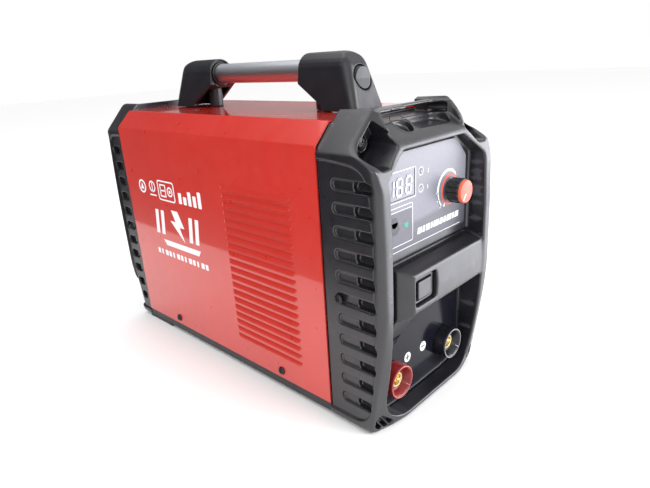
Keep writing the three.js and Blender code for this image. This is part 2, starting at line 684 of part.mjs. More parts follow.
function powerSwitchBody() {
  const { x, z, half } = POWER_SWITCH;
  const [w, h] = half;
  const flangeY = REAR_PANEL_Y + GAP;
  const flange = box([x - w - 2, x + w + 2], [flangeY, flangeY + 2], [z - h - 2, z + h + 2]);
  const can = box([x - w + GAP, x + w - GAP], [REAR_PANEL_Y - 22, flangeY + 1],
    [z - h + GAP, z + h - GAP]);
  const well = box([x - w + 2, x + w - 2], [REAR_PANEL_Y - 9, flangeY + 3], [z - h + 2, z + h - 2]);
  return flange.add(can).subtract(well);
}

const ROCKER_PIVOT = [POWER_SWITCH.x, REAR_PANEL_Y - 2, POWER_SWITCH.z];

// The rocker rests switched off, tilted about its axle.
function powerRocker() {
  const { x, z, half } = POWER_SWITCH;
  const w = half[0] - 2.6;
  const tilt = 10;
  const side = [
    [2.5, -10.8, 1], [2.5, 10.8, 1], [-2, 10.5, 1], [-4, 4], [-4, -4], [-2, -10.5, 1],
  ].map(([y, up, radius]) => [y + ROCKER_PIVOT[1], up + z, radius]);
  return prism('X', side, x - w, x + w, 3)
    .translate([0, -ROCKER_PIVOT[1], -z]).rotate([tilt, 0, 0])
    .translate([0, ROCKER_PIVOT[1], z]);
}

function cableGland() {
  const y = REAR_PANEL_Y + GAP;
  const body = turned('Y', [
    [5, y - 14], [8, y - 14], [8, y], [11.5, y], [11.5, y + 4], [10, y + 4], [10, y + 9],
    [8, y + 12], [5, y + 12], [5, y - 14],
  ], GLAND);
  return body;
}

function hexRing(across, bore, centre, low, high) {
  const points = [];
  for (let i = 0; i < 6; i += 1) {
    const angle = (i * Math.PI) / 3;
    const radius = across / 2 / Math.cos(Math.PI / 6);
    points.push([centre[0] + Math.cos(angle) * radius, centre[1] + Math.sin(angle) * radius]);
  }
  return prism('Y', points, low, high).subtract(rod('Y', bore, low - 1, high + 1, centre, 16));
}

function buildRearPanelParts() {
  const inside = REAR_PANEL_Y - WALL - GAP;
  const outside = REAR_PANEL_Y + GAP;
  add('fan_frame', fanFrame(), NYLON);
  add('fan_rotor', fanRotor(), NYLON, [0, FAN_MID_Y, FAN_Z]);
  add('fan_guard', fanGuard(), BLACK_STEEL);
  add('power_switch_body', powerSwitchBody(), NYLON);
  add('power_rocker', powerRocker(), RED_PLASTIC, ROCKER_PIVOT);
  add('cable_gland', cableGland(), NYLON);
  add('gland_nut', hexRing(22, 8 + GAP, GLAND, inside - 5, inside), NYLON);
  add('earth_stud', rod('Y', 3, inside - 12, outside + 12, EARTH, 16), BRASS);
  add('earth_nut', hexRing(10, 3 + GAP, EARTH, outside, outside + 5), BRASS);
}

// ---------------------------------------------------------------- power electronics

function finnedHeatsink() {
  const plate = box([58, 62], [70, 230], [26, 106]);
  const fins = [];
  const finCount = 7;
  for (let i = 0; i < finCount; i += 1) {
    const z = 30 + i * 12;
    fins.push(box([38, 60], [70, 230], [z - 1, z + 1]));
  }
  return plate.add(joined(fins));
}

// A core with a wound bobbin, for the transformer and the choke.
function woundCore(centre, size, coilR) {
  const [x, y, z] = centre;
  const [a, b, c] = size.map((value) => value / 2);
  const core = box([x - a, x + a], [y - b, y + b], [z - c, z + c])
    .subtract(box([x - a + 8, x + a - 8], [y - b - 1, y + b + 1], [z - c + 8, z + c - 8]));
  const winding = rod('Z', coilR, z - c + 4, z + c - 4, [x, y], 20);
  return core.add(winding);
}

function buildElectronics() {
  add('power_board', box([-66, 66], [40, 262], [18, 19.6]), GREEN_BOARD);
  add('heatsink_left', finnedHeatsink().mirror([1, 0, 0]), ALUMINIUM);
  add('heatsink_right', finnedHeatsink(), ALUMINIUM);
  add('main_transformer', woundCore([0, 205, 55], [60, 46, 56], 22), FERRITE);
  add('output_choke', woundCore([0, 90, 50], [50, 40, 46], 18), COPPER);
  add('filter_capacitor_front', rod('Z', 12, 20.2, 66, [-16, 142], 20), CAN_SLEEVE);
  add('filter_capacitor_rear', rod('Z', 12, 20.2, 66, [16, 142], 20), CAN_SLEEVE);
  add('bridge_rectifier', box([-14, 14], [240, 252], [20.2, 46]), NYLON);
  add('control_board', box([-50, 50], [-20, -18.4], [70, 185]), GREEN_BOARD);
}

// ---------------------------------------------------------------- the machine

add('front_bezel', frontBezel(), BLACK_PLASTIC);
add('rear_bezel', rearBezel(), BLACK_PLASTIC);
add('top_cover', topCover(), RED_PAINT);
add('base_tray', baseTray(), BLACK_STEEL);

['front', 'rear'].forEach((place) => {
  add(`${place}_handle_support`, placeSupport(handleSupport(), place), BLACK_PLASTIC);
  const plug = rod('Y', PLUG_R, -61, -55.3, [0, PLUG_Z], 18);
  add(`${place}_tube_plug`, placeSupport(plug, place), BLACK_PLASTIC);
  const bossScrew = screw(4.5, 2.5, 2, 14).rotate([180, 0, 0])
    .translate([0, BOSS_Y, TOP_Z - SHEET - 2.5 - GAP]);
  add(`${place}_handle_screw`, placeSupport(bossScrew, place), SCREW_STEEL);
});
add('handle_tube', handleTube(), ALUMINIUM);

add('control_panel', controlPanel(), LABEL_FILM);
add('display_module', displayModule(), DARK_GLASS);
Object.entries(LED_Z).forEach(([name, z]) => {
  add(name, rod('Y', 1.5, LABEL_Y - LABEL_THICK - 0.3, LABEL_Y, [LED_X, z], 12), DARK_GLASS);
});
add('potentiometer', potentiometer(), ALUMINIUM);
add('current_knob', knob(), NYLON, KNOB_PIVOT);
add('knob_cap', knobCap(), CORAL_PLASTIC, KNOB_PIVOT);
add('switch_blank', switchBlank(), BLACK_PLASTIC);

[['positive', -SOCKET_X, RED_PLASTIC], ['negative', SOCKET_X, NYLON]].forEach(([sign, x, look]) => {
  add(`${sign}_socket`, socketInsulator(x), look);
  add(`${sign}_contact`, socketContact(x), BRASS);
  add(`${sign}_busbar`, busbar(x), COPPER);
});

buildScrews();
buildRearPanelParts();
buildElectronics();

// Stand the machine on z = 0 with its middle over the origin.
object.position.set(0, (FRONT_DEPTH - REAR_Y) / 2, -GROUND_Z);

export default object;
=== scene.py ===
import math

import bmesh
import bpy
import numpy as np
from mathutils import Matrix, Vector


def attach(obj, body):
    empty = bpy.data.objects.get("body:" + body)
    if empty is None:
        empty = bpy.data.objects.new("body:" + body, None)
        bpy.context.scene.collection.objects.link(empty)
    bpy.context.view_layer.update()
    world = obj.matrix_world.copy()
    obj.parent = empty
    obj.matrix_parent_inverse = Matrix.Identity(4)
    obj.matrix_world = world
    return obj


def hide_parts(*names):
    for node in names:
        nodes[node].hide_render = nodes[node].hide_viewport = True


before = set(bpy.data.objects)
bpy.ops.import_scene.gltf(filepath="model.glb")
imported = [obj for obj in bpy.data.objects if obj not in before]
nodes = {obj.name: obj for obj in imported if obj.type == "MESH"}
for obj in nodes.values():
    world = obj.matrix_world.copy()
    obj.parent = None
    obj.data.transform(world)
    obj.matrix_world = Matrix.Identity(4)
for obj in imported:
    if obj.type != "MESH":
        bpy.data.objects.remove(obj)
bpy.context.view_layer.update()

# The shapes are drawn in millimetres with y = 0 at the seam of front bezel and cover and z = 0 at
# the cover's lower edge. OFFSET moves them into the row frame.
OFFSET = np.array([0.0, -139.1, 12.0])
MM = 0.001
FINE = 1.0


def linked(name, data):
    """An object of that data, in the scene."""
    made = bpy.data.objects.new(name, data)
    bpy.context.scene.collection.objects.link(made)
    return made


# ------------------------------------------------------------------ camera

CAMERA_PLACE = Vector((-0.34471, -0.40718, 0.28957))
CAMERA_RIGHT = Vector((0.6868, -0.7246, -0.0574))
CAMERA_UP = Vector((0.2800, 0.1909, 0.9409))
CAMERA_BACK = Vector((-0.6707, -0.6622, 0.3340))

camera_data = bpy.data.cameras.new("camera")
camera_data.sensor_width = 36
camera_data.lens = 29.285
camera_data.clip_start = 0.01
bpy.context.scene.view_settings.view_transform = "Standard"
camera = linked("camera", camera_data)
turn = Matrix((CAMERA_RIGHT, CAMERA_UP, CAMERA_BACK)).transposed()
camera.matrix_world = Matrix.Translation(CAMERA_PLACE) @ turn.to_4x4()
bpy.context.scene.camera = camera

# ------------------------------------------------------------------ materials


def principled(name, color, rough, metal=0.0, coat=0.0, coat_rough=0.1, ior=1.5):
    material = bpy.data.materials.new(name)
    material.use_nodes = True
    tree = material.node_tree
    shader = tree.nodes["Principled BSDF"]
    shader.inputs["Base Color"].default_value = (*color, 1)
    shader.inputs["Roughness"].default_value = rough
    shader.inputs["Metallic"].default_value = metal
    shader.inputs["Coat Weight"].default_value = coat
    shader.inputs["Coat Roughness"].default_value = coat_rough
    shader.inputs["IOR"].default_value = ior
    return material, tree, shader


def node(tree, kind, **values):
    made = tree.nodes.new(kind)
    for key, value in values.items():
        if key in made.inputs:
            made.inputs[key].default_value = value
        else:
            setattr(made, key, value)
    return made


def object_point(tree, stretch=(1, 1, 1)):
    """The point on the object, in metres, stretched for brushed or drawn surfaces."""
    place = node(tree, "ShaderNodeTexCoord")
    mapping = node(tree, "ShaderNodeMapping")
    mapping.inputs["Scale"].default_value = stretch
    tree.links.new(place.outputs["Object"], mapping.inputs["Vector"])
    return mapping.outputs["Vector"]


def noise(tree, point, scale, detail=3.0):
    made = node(tree, "ShaderNodeTexNoise", Scale=scale, Detail=detail)
    tree.links.new(point, made.inputs["Vector"])
    return made.outputs["Fac"]


def ramp(tree, value, stops):
    made = node(tree, "ShaderNodeValToRGB")
    elements = made.color_ramp.elements
    while len(elements) < len(stops):
        elements.new(0.5)
    for element, (position, color) in zip(elements, stops):
        element.position = position
        element.color = (*color, 1)
    tree.links.new(value, made.inputs["Fac"])
    return made.outputs["Color"]


def spread(tree, value, low, high):
    made = node(tree, "ShaderNodeMapRange")
    made.inputs["From Min"].default_value = 0.3
    made.inputs["From Max"].default_value = 0.7
    made.inputs["To Min"].default_value = low
    made.inputs["To Max"].default_value = high
    tree.links.new(value, made.inputs["Value"])
    return made.outputs["Result"]


def bump(tree, shader, value, distance, strength=0.5):
    made = node(tree, "ShaderNodeBump", Strength=strength, Distance=distance)
    tree.links.new(value, made.inputs["Height"])
    tree.links.new(made.outputs["Normal"], shader.inputs["Normal"])


def finish_of(name, color, rough, grain=2500.0, depth=0.00003, vary=0.18, stretch=(1, 1, 1), **more):
    """A surface with fine grain, slow colour variation, and roughness that wanders with handling."""
    material, tree, shader = principled(name, color, rough, **more)
    point = object_point(tree, stretch)
    broad = noise(tree, point, 28.0)
    low = [channel * (1 - vary) for channel in color]
    high = [min(1, channel * (1 + vary)) for channel in color]
    tree.links.new(ramp(tree, broad, [(0.3, low), (0.7, high)]), shader.inputs["Base Color"])
    smudge = noise(tree, point, 90.0, 5.0)
    tree.links.new(spread(tree, smudge, rough * 0.85, min(1, rough * 1.2)),
                   shader.inputs["Roughness"])
    bump(tree, shader, noise(tree, point, grain, 2.0), depth)
    return material


def painted_edge_highlight(material, light, amount=0.55):
    """Edges painted lighter: a painted highlight along them."""
    tree = material.node_tree
    shader = tree.nodes["Principled BSDF"]
    source = shader.inputs["Base Color"].links[0].from_socket
    geometry = node(tree, "ShaderNodeNewGeometry")
    edge = ramp(tree, geometry.outputs["Pointiness"], [(0.57, (0, 0, 0)), (0.7, (amount,) * 3)])
    mix = node(tree, "ShaderNodeMix", data_type="RGBA")
    tree.links.new(edge, mix.inputs["Factor"])
    tree.links.new(source, mix.inputs["A"])
    mix.inputs["B"].default_value = (*light, 1)
    tree.links.new(mix.outputs["Result"], shader.inputs["Base Color"])
    return material


def recess_with_painted_shade(material, limits, color, rough):
    """A box of the piece, (axis, low, high) in metres, moulded smoother and given painted shade: a
    darker colour and a weaker reflection.
    """
    tree = material.node_tree
    shader = tree.nodes["Principled BSDF"]
    split = node(tree, "ShaderNodeSeparateXYZ")
    tree.links.new(object_point(tree), split.inputs["Vector"])
    inside = None
    for axis, low, high in limits:
        for operation, limit in (("GREATER_THAN", low), ("LESS_THAN", high)):
            test = node(tree, "ShaderNodeMath", operation=operation)
            tree.links.new(split.outputs[axis], test.inputs[0])
            test.inputs[1].default_value = limit
            if inside is not None:
                both = node(tree, "ShaderNodeMath", operation="MULTIPLY")
                tree.links.new(inside, both.inputs[0])
                tree.links.new(test.outputs["Value"], both.inputs[1])
                test = both
            inside = test.outputs["Value"]
    for kind, socket_name, value in (("RGBA", "Base Color", (*color, 1)),
                                     ("FLOAT", "Roughness", rough),
                                     ("FLOAT", "Specular IOR Level", 0.14)):
        socket_in = shader.inputs[socket_name]
        mix = node(tree, "ShaderNodeMix", data_type=kind)
        slots = [found for found in mix.inputs if found.enabled]
        tree.links.new(inside, slots[0])
        if socket_in.is_linked:
            tree.links.new(socket_in.links[0].from_socket, slots[1])
        else:
            slots[1].default_value = socket_in.default_value
        slots[2].default_value = value
        result = [found for found in mix.outputs if found.enabled][0]
        tree.links.new(result, socket_in)


# The bezel plastic gets a painted highlight along its edges.
BLACK = painted_edge_highlight(finish_of("bezel_plastic", (0.0135, 0.013, 0.0165), 0.3, ior=1.65),
                   (0.1, 0.1, 0.12))
# The lower recess gets painted shade (darker colour, weaker reflection) over smoother plastic.
recess_with_painted_shade(BLACK, (("X", -0.0655, 0.0655), ("Y", -0.1768, -0.17), ("Z", 0.004, 0.13)),
                (0.006, 0.006, 0.012), 0.13)
# The handle plastic gets a painted highlight along its edges.
HANDLE = painted_edge_highlight(finish_of("handle_plastic", (0.013, 0.013, 0.017), 0.38), (0.07, 0.07, 0.09))
RED = finish_of("cover_paint", (0.56, 0.022, 0.012), 0.32, grain=1600.0, depth=0.000004,
                vary=0.03, coat=1.0, coat_rough=0.05)
TRAY = finish_of("tray_paint", (0.02, 0.02, 0.023), 0.38, grain=1500.0)
ALUMINIUM = finish_of("tube_aluminium", (0.66, 0.68, 0.72), 0.4, grain=900.0, depth=0.00002,
                      vary=0.06, stretch=(1, 0.04, 1), metal=1.0)
SCREW = finish_of("screw_steel", (0.05, 0.05, 0.055), 0.32, metal=0.85)
BRASS = finish_of("contact_brass", (0.78, 0.63, 0.33), 0.2, metal=1.0, depth=0.00001)
PLATED = finish_of("plated_steel", (0.6, 0.6, 0.62), 0.28, metal=1.0)
RED_INSULATOR = finish_of("red_insulator", (0.2, 0.009, 0.009), 0.3)
BLACK_INSULATOR = finish_of("black_insulator", (0.01, 0.01, 0.014), 0.25)
EDGE_RED = finish_of("red_edge", (0.6, 0.17, 0.15), 0.35)
EDGE_GREY = finish_of("grey_edge", (0.35, 0.35, 0.38), 0.35)
KNOB = finish_of("knob_plastic", (0.014, 0.013, 0.015), 0.3)
CORAL = finish_of("knob_cap_plastic", (0.8, 0.115, 0.06), 0.4, depth=0.00001)
PRINT = finish_of("print_white", (0.82, 0.82, 0.84), 0.45, grain=1800.0, vary=0.04)
PRINT_GREEN = finish_of("print_green", (0.0, 0.32, 0.2), 0.4, vary=0.1)
PRINT_DARK = finish_of("print_dark", (0.02, 0.02, 0.03), 0.35, vary=0.1)
GLASS = finish_of("display_glass", (0.16, 0.16, 0.21), 0.12, depth=0.000004, vary=0.08, coat=0.6)
LED = finish_of("led_lens", (0.25, 0.25, 0.29), 0.2, vary=0.1)
FAN_PLASTIC = finish_of("fan_plastic", (0.016, 0.016, 0.018), 0.4)
WIRE = finish_of("guard_wire", (0.55, 0.56, 0.58), 0.25, metal=1.0, stretch=(1, 0.2, 1))
NYLON = finish_of("gland_nylon", (0.018, 0.018, 0.02), 0.45)
ROCKER = finish_of("rocker_plastic", (0.5, 0.02, 0.015), 0.25)
SWITCH = finish_of("switch_plastic", (0.014, 0.014, 0.016), 0.3)
BOARD = finish_of("circuit_board", (0.012, 0.11, 0.05), 0.45, grain=600.0)
FINS = finish_of("heatsink_aluminium", (0.6, 0.61, 0.63), 0.4, metal=1.0, stretch=(1, 0.05, 1))
COPPER = finish_of("choke_copper", (0.72, 0.3, 0.14), 0.3, metal=1.0, stretch=(1, 1, 12))
BUSBAR = finish_of("busbar_copper", (0.75, 0.36, 0.2), 0.3, metal=1.0)
FERRITE = finish_of("core_ferrite", (0.05, 0.05, 0.052), 0.75, grain=800.0)
SLEEVE = finish_of("capacitor_sleeve", (0.02, 0.03, 0.07), 0.3)


def label_film():
    """The printed plate: a silver field over a darker one, each lighter towards the top, with the
    fine grain of its film.
    """
    material, tree, shader = principled("label_film", (0.25, 0.25, 0.29), 0.38)
    place = object_point(tree)
    split = node(tree, "ShaderNodeSeparateXYZ")
    tree.links.new(place, split.inputs["Vector"])
    slope = node(tree, "ShaderNodeMath", operation="MULTIPLY_ADD")
    tree.links.new(split.outputs["X"], slope.inputs[0])
    slope.inputs[1].default_value = -0.055
    tree.links.new(split.outputs["Z"], slope.inputs[2])
    tone = ramp(tree, slope.outputs["Value"], [
        (0.1466, (0.06, 0.06, 0.08)), (0.1664, (0.09, 0.09, 0.115)),
        (0.1668, (0.17, 0.17, 0.21)), (0.222, (0.25, 0.25, 0.29))])
    speckle = noise(tree, place, 900.0, 2.0)
    mix = node(tree, "ShaderNodeMix", data_type="RGBA", blend_type="MULTIPLY")
    mix.inputs["Factor"].default_value = 1
    tree.links.new(tone, mix.inputs["A"])
    tree.links.new(ramp(tree, speckle, [(0.3, (0.86,) * 3), (0.7, (1, 1, 1))]), mix.inputs["B"])
    tree.links.new(mix.outputs["Result"], shader.inputs["Base Color"])
    bump(tree, shader, noise(tree, place, 2200.0), 0.00001)
    return material


LABEL = label_film()
LABEL_TONE = finish_of("label_field", (0.09, 0.085, 0.11), 0.4, vary=0.06)

# ------------------------------------------------------------------ meshes


def put(name, vertices, faces, material, slot, body="housing", smooth=True, replaces=()):
    """A mesh from millimetre points, placed in the row frame and riding on a CAD body."""
    points = (np.asarray(vertices, float) + OFFSET) * MM
    mesh = bpy.data.meshes.new(name)
    if isinstance(faces, np.ndarray):
        mesh.vertices.add(len(points))
        mesh.vertices.foreach_set("co", points.astype(np.float32).ravel())
        mesh.loops.add(faces.size)
        mesh.loops.foreach_set("vertex_index", faces.astype(np.int32).ravel())
        mesh.polygons.add(len(faces))
        mesh.polygons.foreach_set("loop_start",
                                  np.arange(0, faces.size, faces.shape[1], dtype=np.int32))
        mesh.update(calc_edges=True)
    else:
        mesh.from_pydata([tuple(p) for p in points], [], faces)
    mesh.validate()
    mesh.polygons.foreach_set("use_smooth", [smooth] * len(mesh.polygons))
    mesh.materials.append(material)
    piece = linked(name, mesh)
    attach(piece, body)
    if replaces:
        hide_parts(*replaces)
    return piece


def baked(piece):
    """Put the modifiers' result in the place of the mesh."""
    depsgraph = bpy.context.evaluated_depsgraph_get()
    made = bpy.data.meshes.new_from_object(piece.evaluated_get(depsgraph))
    piece.modifiers.clear()
    piece.data = made
    return piece


def thinned(piece, ratio):
    """Leave that share of the faces, with the mesh shaded smooth."""
    modifier = piece.modifiers.new("thin", "DECIMATE")
    modifier.ratio = ratio
    faces = baked(piece).data.polygons
    faces.foreach_set("use_smooth", [True] * len(faces))
    return piece


def quads_of(rows, columns, base=0, closed=False, flip=False):
    """Quads between neighbouring rows of points, which are numbered row by row from base."""
    faces = []
    for j in range(rows - 1):
        for i in range(columns if closed else columns - 1):
            k = (i + 1) % columns
            low, high = base + j * columns, base + (j + 1) * columns
            quad = [low + i, low + k, high + k, high + i]
            faces.append(quad[::-1] if flip else quad)
    return faces


def sharpen(piece, angle=35):
    """Shade smooth, with edges over that angle left sharp."""
    piece.data.set_sharp_from_angle(angle=math.radians(angle))
    return piece


def bevelled(piece, width, segments=2, angle=40):
    """Round the edges by a width in millimetres, with the modifier applied."""
    modifier = piece.modifiers.new("bevel", "BEVEL")
    modifier.width = width * MM
    modifier.segments = segments
    modifier.limit_method = "ANGLE"
    modifier.angle_limit = math.radians(angle)
    modifier.harden_normals = True
    return baked(sharpen(piece, angle))


# ------------------------------------------------------------------ distance fields


def rounded(points, steps=6):
    """An outline of (u, v, corner radius) points with its corners rounded."""
    path = []
    count = len(points)
    for i, point in enumerate(points):
        corner = np.array(point[:2], float)
        radius = point[2] if len(point) > 2 else 0
        if not radius:
            path.append(corner)
            continue
        before = np.array(points[i - 1][:2], float) - corner
        after = np.array(points[(i + 1) % count][:2], float) - corner
        lengths = np.linalg.norm(before), np.linalg.norm(after)
        half = math.acos(np.clip(before @ after / lengths[0] / lengths[1], -1, 1)) / 2
        reach = min(radius / math.tan(half), lengths[0] / 2.01, lengths[1] / 2.01)
        start = corner + before / lengths[0] * reach
        end = corner + after / lengths[1] * reach
        for t in np.linspace(0, 1, steps + 1):
            path.append((1 - t) ** 2 * start + 2 * t * (1 - t) * corner + t * t * end)
    return np.array(path)


def slab(low, high, radius=0.0):
    """The corners of an upright rectangle, all rounded by one radius."""
    return [(low[0], low[1], radius), (high[0], low[1], radius), (high[0], high[1], radius),
            (low[0], high[1], radius)]


def polygon(points, u, v, steps=6):
    """Signed distance to an outline, negative inside. u is a column and v a row of coordinates."""
    path = rounded(points, steps)
    nearest = np.full(np.broadcast(u, v).shape, 1e9)
    inside = np.zeros(nearest.shape, bool)
    for a, b in zip(path, np.roll(path, -1, axis=0)):
        e = b - a
        size = e @ e
        if size < 1e-12:
            continue
        t = np.clip(((u - a[0]) * e[0] + (v - a[1]) * e[1]) / size, 0, 1)
        nearest = np.minimum(nearest, (u - a[0] - t * e[0]) ** 2 + (v - a[1] - t * e[1]) ** 2)
        if abs(e[1]) > 1e-12:
            crossed = (a[1] <= v) != (b[1] <= v)
            inside ^= crossed & (u < a[0] + (v - a[1]) / e[1] * e[0])
    return np.where(inside, -1, 1) * np.sqrt(nearest)


def smax(a, b, k):
    h = np.maximum(k - np.abs(a - b), 0) / k
    return np.maximum(a, b) + h * h * k / 4


def smin(a, b, k):
    h = np.maximum(k - np.abs(a - b), 0) / k
    return np.minimum(a, b) - h * h * k / 4


class Grid:
    """A box of sample points. A flat outline is worked out on two axes and spread over the third."""

    def __init__(self, low, high, step):
        self.low = np.array(low, float)
        self.step = step
        counts = [int(math.ceil((b - a) / step)) + 1 for a, b in zip(low, high)]
        self.axes = [a + np.arange(n) * step for a, n in zip(low, counts)]
        self.x = self.axes[0][:, None, None]
        self.y = self.axes[1][None, :, None]
        self.z = self.axes[2][None, None, :]

    def across(self, flat, points, mirrored=False, steps=6):
        """Distance to a prism of an outline, which lies in the XY, XZ or YZ plane."""
        u, v = (self.axes["XYZ".index(letter)] for letter in flat)
        if mirrored and flat[0] == "X":
            u = np.abs(u)
        found = polygon(points, u[:, None], v[None, :], steps)
        if flat == "XY":
            return found[:, :, None]
        if flat == "XZ":
            return found[:, None, :]
        return found[None, :, :]

    def full(self, field):
        """The field with a value at every sample point."""
        return np.broadcast_to(field, [len(axis) for axis in self.axes]).astype(np.float32)

    def surface(self, field):
        """Points and quads of the zero surface, by surface nets."""
        field = self.full(field)
        inside = field < 0
        corners = [(i, j, k) for i in (0, 1) for j in (0, 1) for k in (0, 1)]
        total = np.zeros([n - 1 for n in field.shape], np.int8)
        for i, j, k in corners:
            total += inside[i:field.shape[0] - 1 + i, j:field.shape[1] - 1 + j,
                            k:field.shape[2] - 1 + k]
        cells = np.argwhere((total > 0) & (total < 8))
        index = np.full(total.shape, -1, np.int32)
        index[tuple(cells.T)] = np.arange(len(cells))
        values = np.stack([field[cells[:, 0] + i, cells[:, 1] + j, cells[:, 2] + k]
                           for i, j, k in corners], 1)
        place = np.zeros((len(cells), 3))
        hits = np.zeros(len(cells))
        for a in range(8):
            for b in range(a + 1, 8):
                gap = np.abs(np.array(corners[a]) - np.array(corners[b]))
                if gap.sum() != 1:
                    continue
                va, vb = values[:, a], values[:, b]
                cut = (va < 0) != (vb < 0)
                t = np.where(cut, va / np.where(cut, va - vb, 1), 0)
                point = np.array(corners[a]) + t[:, None] * (np.array(corners[b])
                                                             - np.array(corners[a]))
                place += point * cut[:, None]
                hits += cut
        points = self.low + (cells + place / hits[:, None]) * self.step
        quads = []
        for axis in range(3):
            lower = [slice(None)] * 3
            upper = [slice(None)] * 3
            lower[axis], upper[axis] = slice(0, -1), slice(1, None)
            first, second = inside[tuple(lower)], inside[tuple(upper)]
            crossing = np.argwhere(first != second)
            b, c = [(1, 2), (2, 0), (0, 1)][axis]
            keep = (crossing[:, b] > 0) & (crossing[:, c] > 0)
            keep &= (crossing[:, b] < total.shape[b]) & (crossing[:, c] < total.shape[c])
            crossing = crossing[keep]
            outward = first[tuple(crossing.T)]
            ring = []
            for db, dc in ((1, 1), (0, 1), (0, 0), (1, 0)):
                cell = crossing.copy()
                cell[:, b] -= db
                cell[:, c] -= dc
                ring.append(index[tuple(cell.T)])
            ring = np.stack(ring, 1)
            quads.append(np.where(outward[:, None], ring, ring[:, ::-1]))
        return points, np.concatenate(quads)


def bezel_piece(name, grid, field, replaced):
    """A bezel from a distance field, thinned out and shaded by the field's slope."""
    points, quads = grid.surface(field)
    piece = put(name, points, quads, BLACK, "bezel_plastic", replaces=[replaced])
    made = thinned(piece, BEZEL_SHARE).data
    vertices = np.zeros(len(made.vertices) * 3, np.float32)
    made.vertices.foreach_get("co", vertices)
    at = (vertices.reshape(-1, 3) / MM - OFFSET - grid.low) / grid.step
    field = grid.full(field)
    at = np.clip(at, 1, np.array(field.shape) - 2.001)
    made.normals_split_custom_set_from_vertices(slope_of(field, at))


def slope_of(field, at):
    """The field's unit slope at grid places, for smooth shading of thinned surfaces."""
    def sample(place):
        low = place.astype(int)
        part = place - low
        total = 0
        for i in (0, 1):
            for j in (0, 1):
                for k in (0, 1):
                    weight = (np.abs(1 - i - part[:, 0]) * np.abs(1 - j - part[:, 1])
                              * np.abs(1 - k - part[:, 2]))
                    total = total + weight * field[low[:, 0] + i, low[:, 1] + j, low[:, 2] + k]
        return total

    slope = np.zeros_like(at)
    for axis in range(3):
        step = np.zeros(3)
        step[axis] = 0.6
        ahead = np.clip(at + step, 0, np.array(field.shape) - 1.001)
        behind = np.clip(at - step, 0, np.array(field.shape) - 1.001)
        slope[:, axis] = sample(ahead) - sample(behind)
    return slope / np.maximum(np.linalg.norm(slope, axis=1), 1e-9)[:, None]


# ------------------------------------------------------------------ bezels

GROUND = -12.0
RIB_COUNT = 11
RIB_LOW = 14.0
RIB_PITCH = 17.75
COVER_END = 301.2
REAR_END = 338.2
REAR_PANEL = 324.2
SOCKET_X, SOCKET_Z = 39.5, 20.6
KNOB_X, KNOB_Z = 33, 168
BEZEL_SHARE = 0.35
SUPPORT_SHARE = 0.5

OUTLINE = [(-79.2, GROUND, 10), (79.2, GROUND, 10), (79.2, 212, 5), (50.5, 241, 7),
           (-50.5, 241, 7), (-79.2, 212, 5)]
FRONT_OUTLINE = [(-79.2, GROUND, 10), (79.2, GROUND, 10), (79.2, 212, 5), (48, 243.6, 5),
                 (-48, 243.6, 5), (-79.2, 212, 5)]
OPENING = [(-66, -6, 30), (66, -6, 30), (66, 195, 6), (41.5, 212.6, 6), (-41.5, 212.6, 6),
           (-66, 195, 6)]
INNER = [(-72.5, GROUND + 6.5), (72.5, GROUND + 6.5), (72.5, 209.5), (60, 222), (-60, 222),
         (-72.5, 209.5)]
WINDOW = [(53.5, 234.2, 2), (48, 225.5, 3), (45, 217, 4), (60.5, 203.6, 5), (70.5, 203, 4),
          (75.7, 212, 2)]


def ribs(grid, body, along, ends, field_outline, deepest, clear):
    """The recessed field on both sides, with its row of faint grooves that end in deep pockets.
    along is the way from the seam towards the end, and ends is where a groove starts and stops."""
    field = grid.across("YZ", field_outline)
    body = smax(body, smin(-field, body + 2.0, 1.2), 1.6)
    index = np.clip(np.round((grid.z - RIB_LOW) / RIB_PITCH), 0, RIB_COUNT - 1)
    across = np.abs(grid.z - RIB_LOW - RIB_PITCH * index)
    start, stop = ends
    stop = stop - np.clip((60 - grid.z) / 46, 0, 1) * 7.5
    for begin, wide, deep in ((start, 4.0, 0.2), (start + 0.5 * (stop - start), 3.6, deepest)):
        half = (stop - begin) / 2
        u = np.abs(along - (begin + stop) / 2) - half + wide - 0.4
        v = across - 0.4
        slot = np.hypot(np.maximum(u, 0), np.maximum(v, 0)) + np.minimum(np.maximum(u, v), 0)
        slot = slot - wide + 0.4
        tilt = 0.5 + 0.11 * (grid.z - RIB_LOW - RIB_PITCH * index) if deep > 1 else 1
        body = smax(body, smin(smin(-slot, body + 2.0 + deep * tilt, 0.8), clear, 1.0), 0.9)
    return body


def tongue(grid, along):
    """A bezel's thin wall that reaches in under the cover. along is measured from its middle."""
    sleeve = grid.across("XZ", [(-76.2, -20), (76.2, -20), (76.2, 216), (61, 232), (-61, 232),
                                (-76.2, 216)])
    return np.maximum(np.maximum(np.abs(sleeve + 1.2) - 1, np.abs(along) - 4.5), 14 - grid.z)


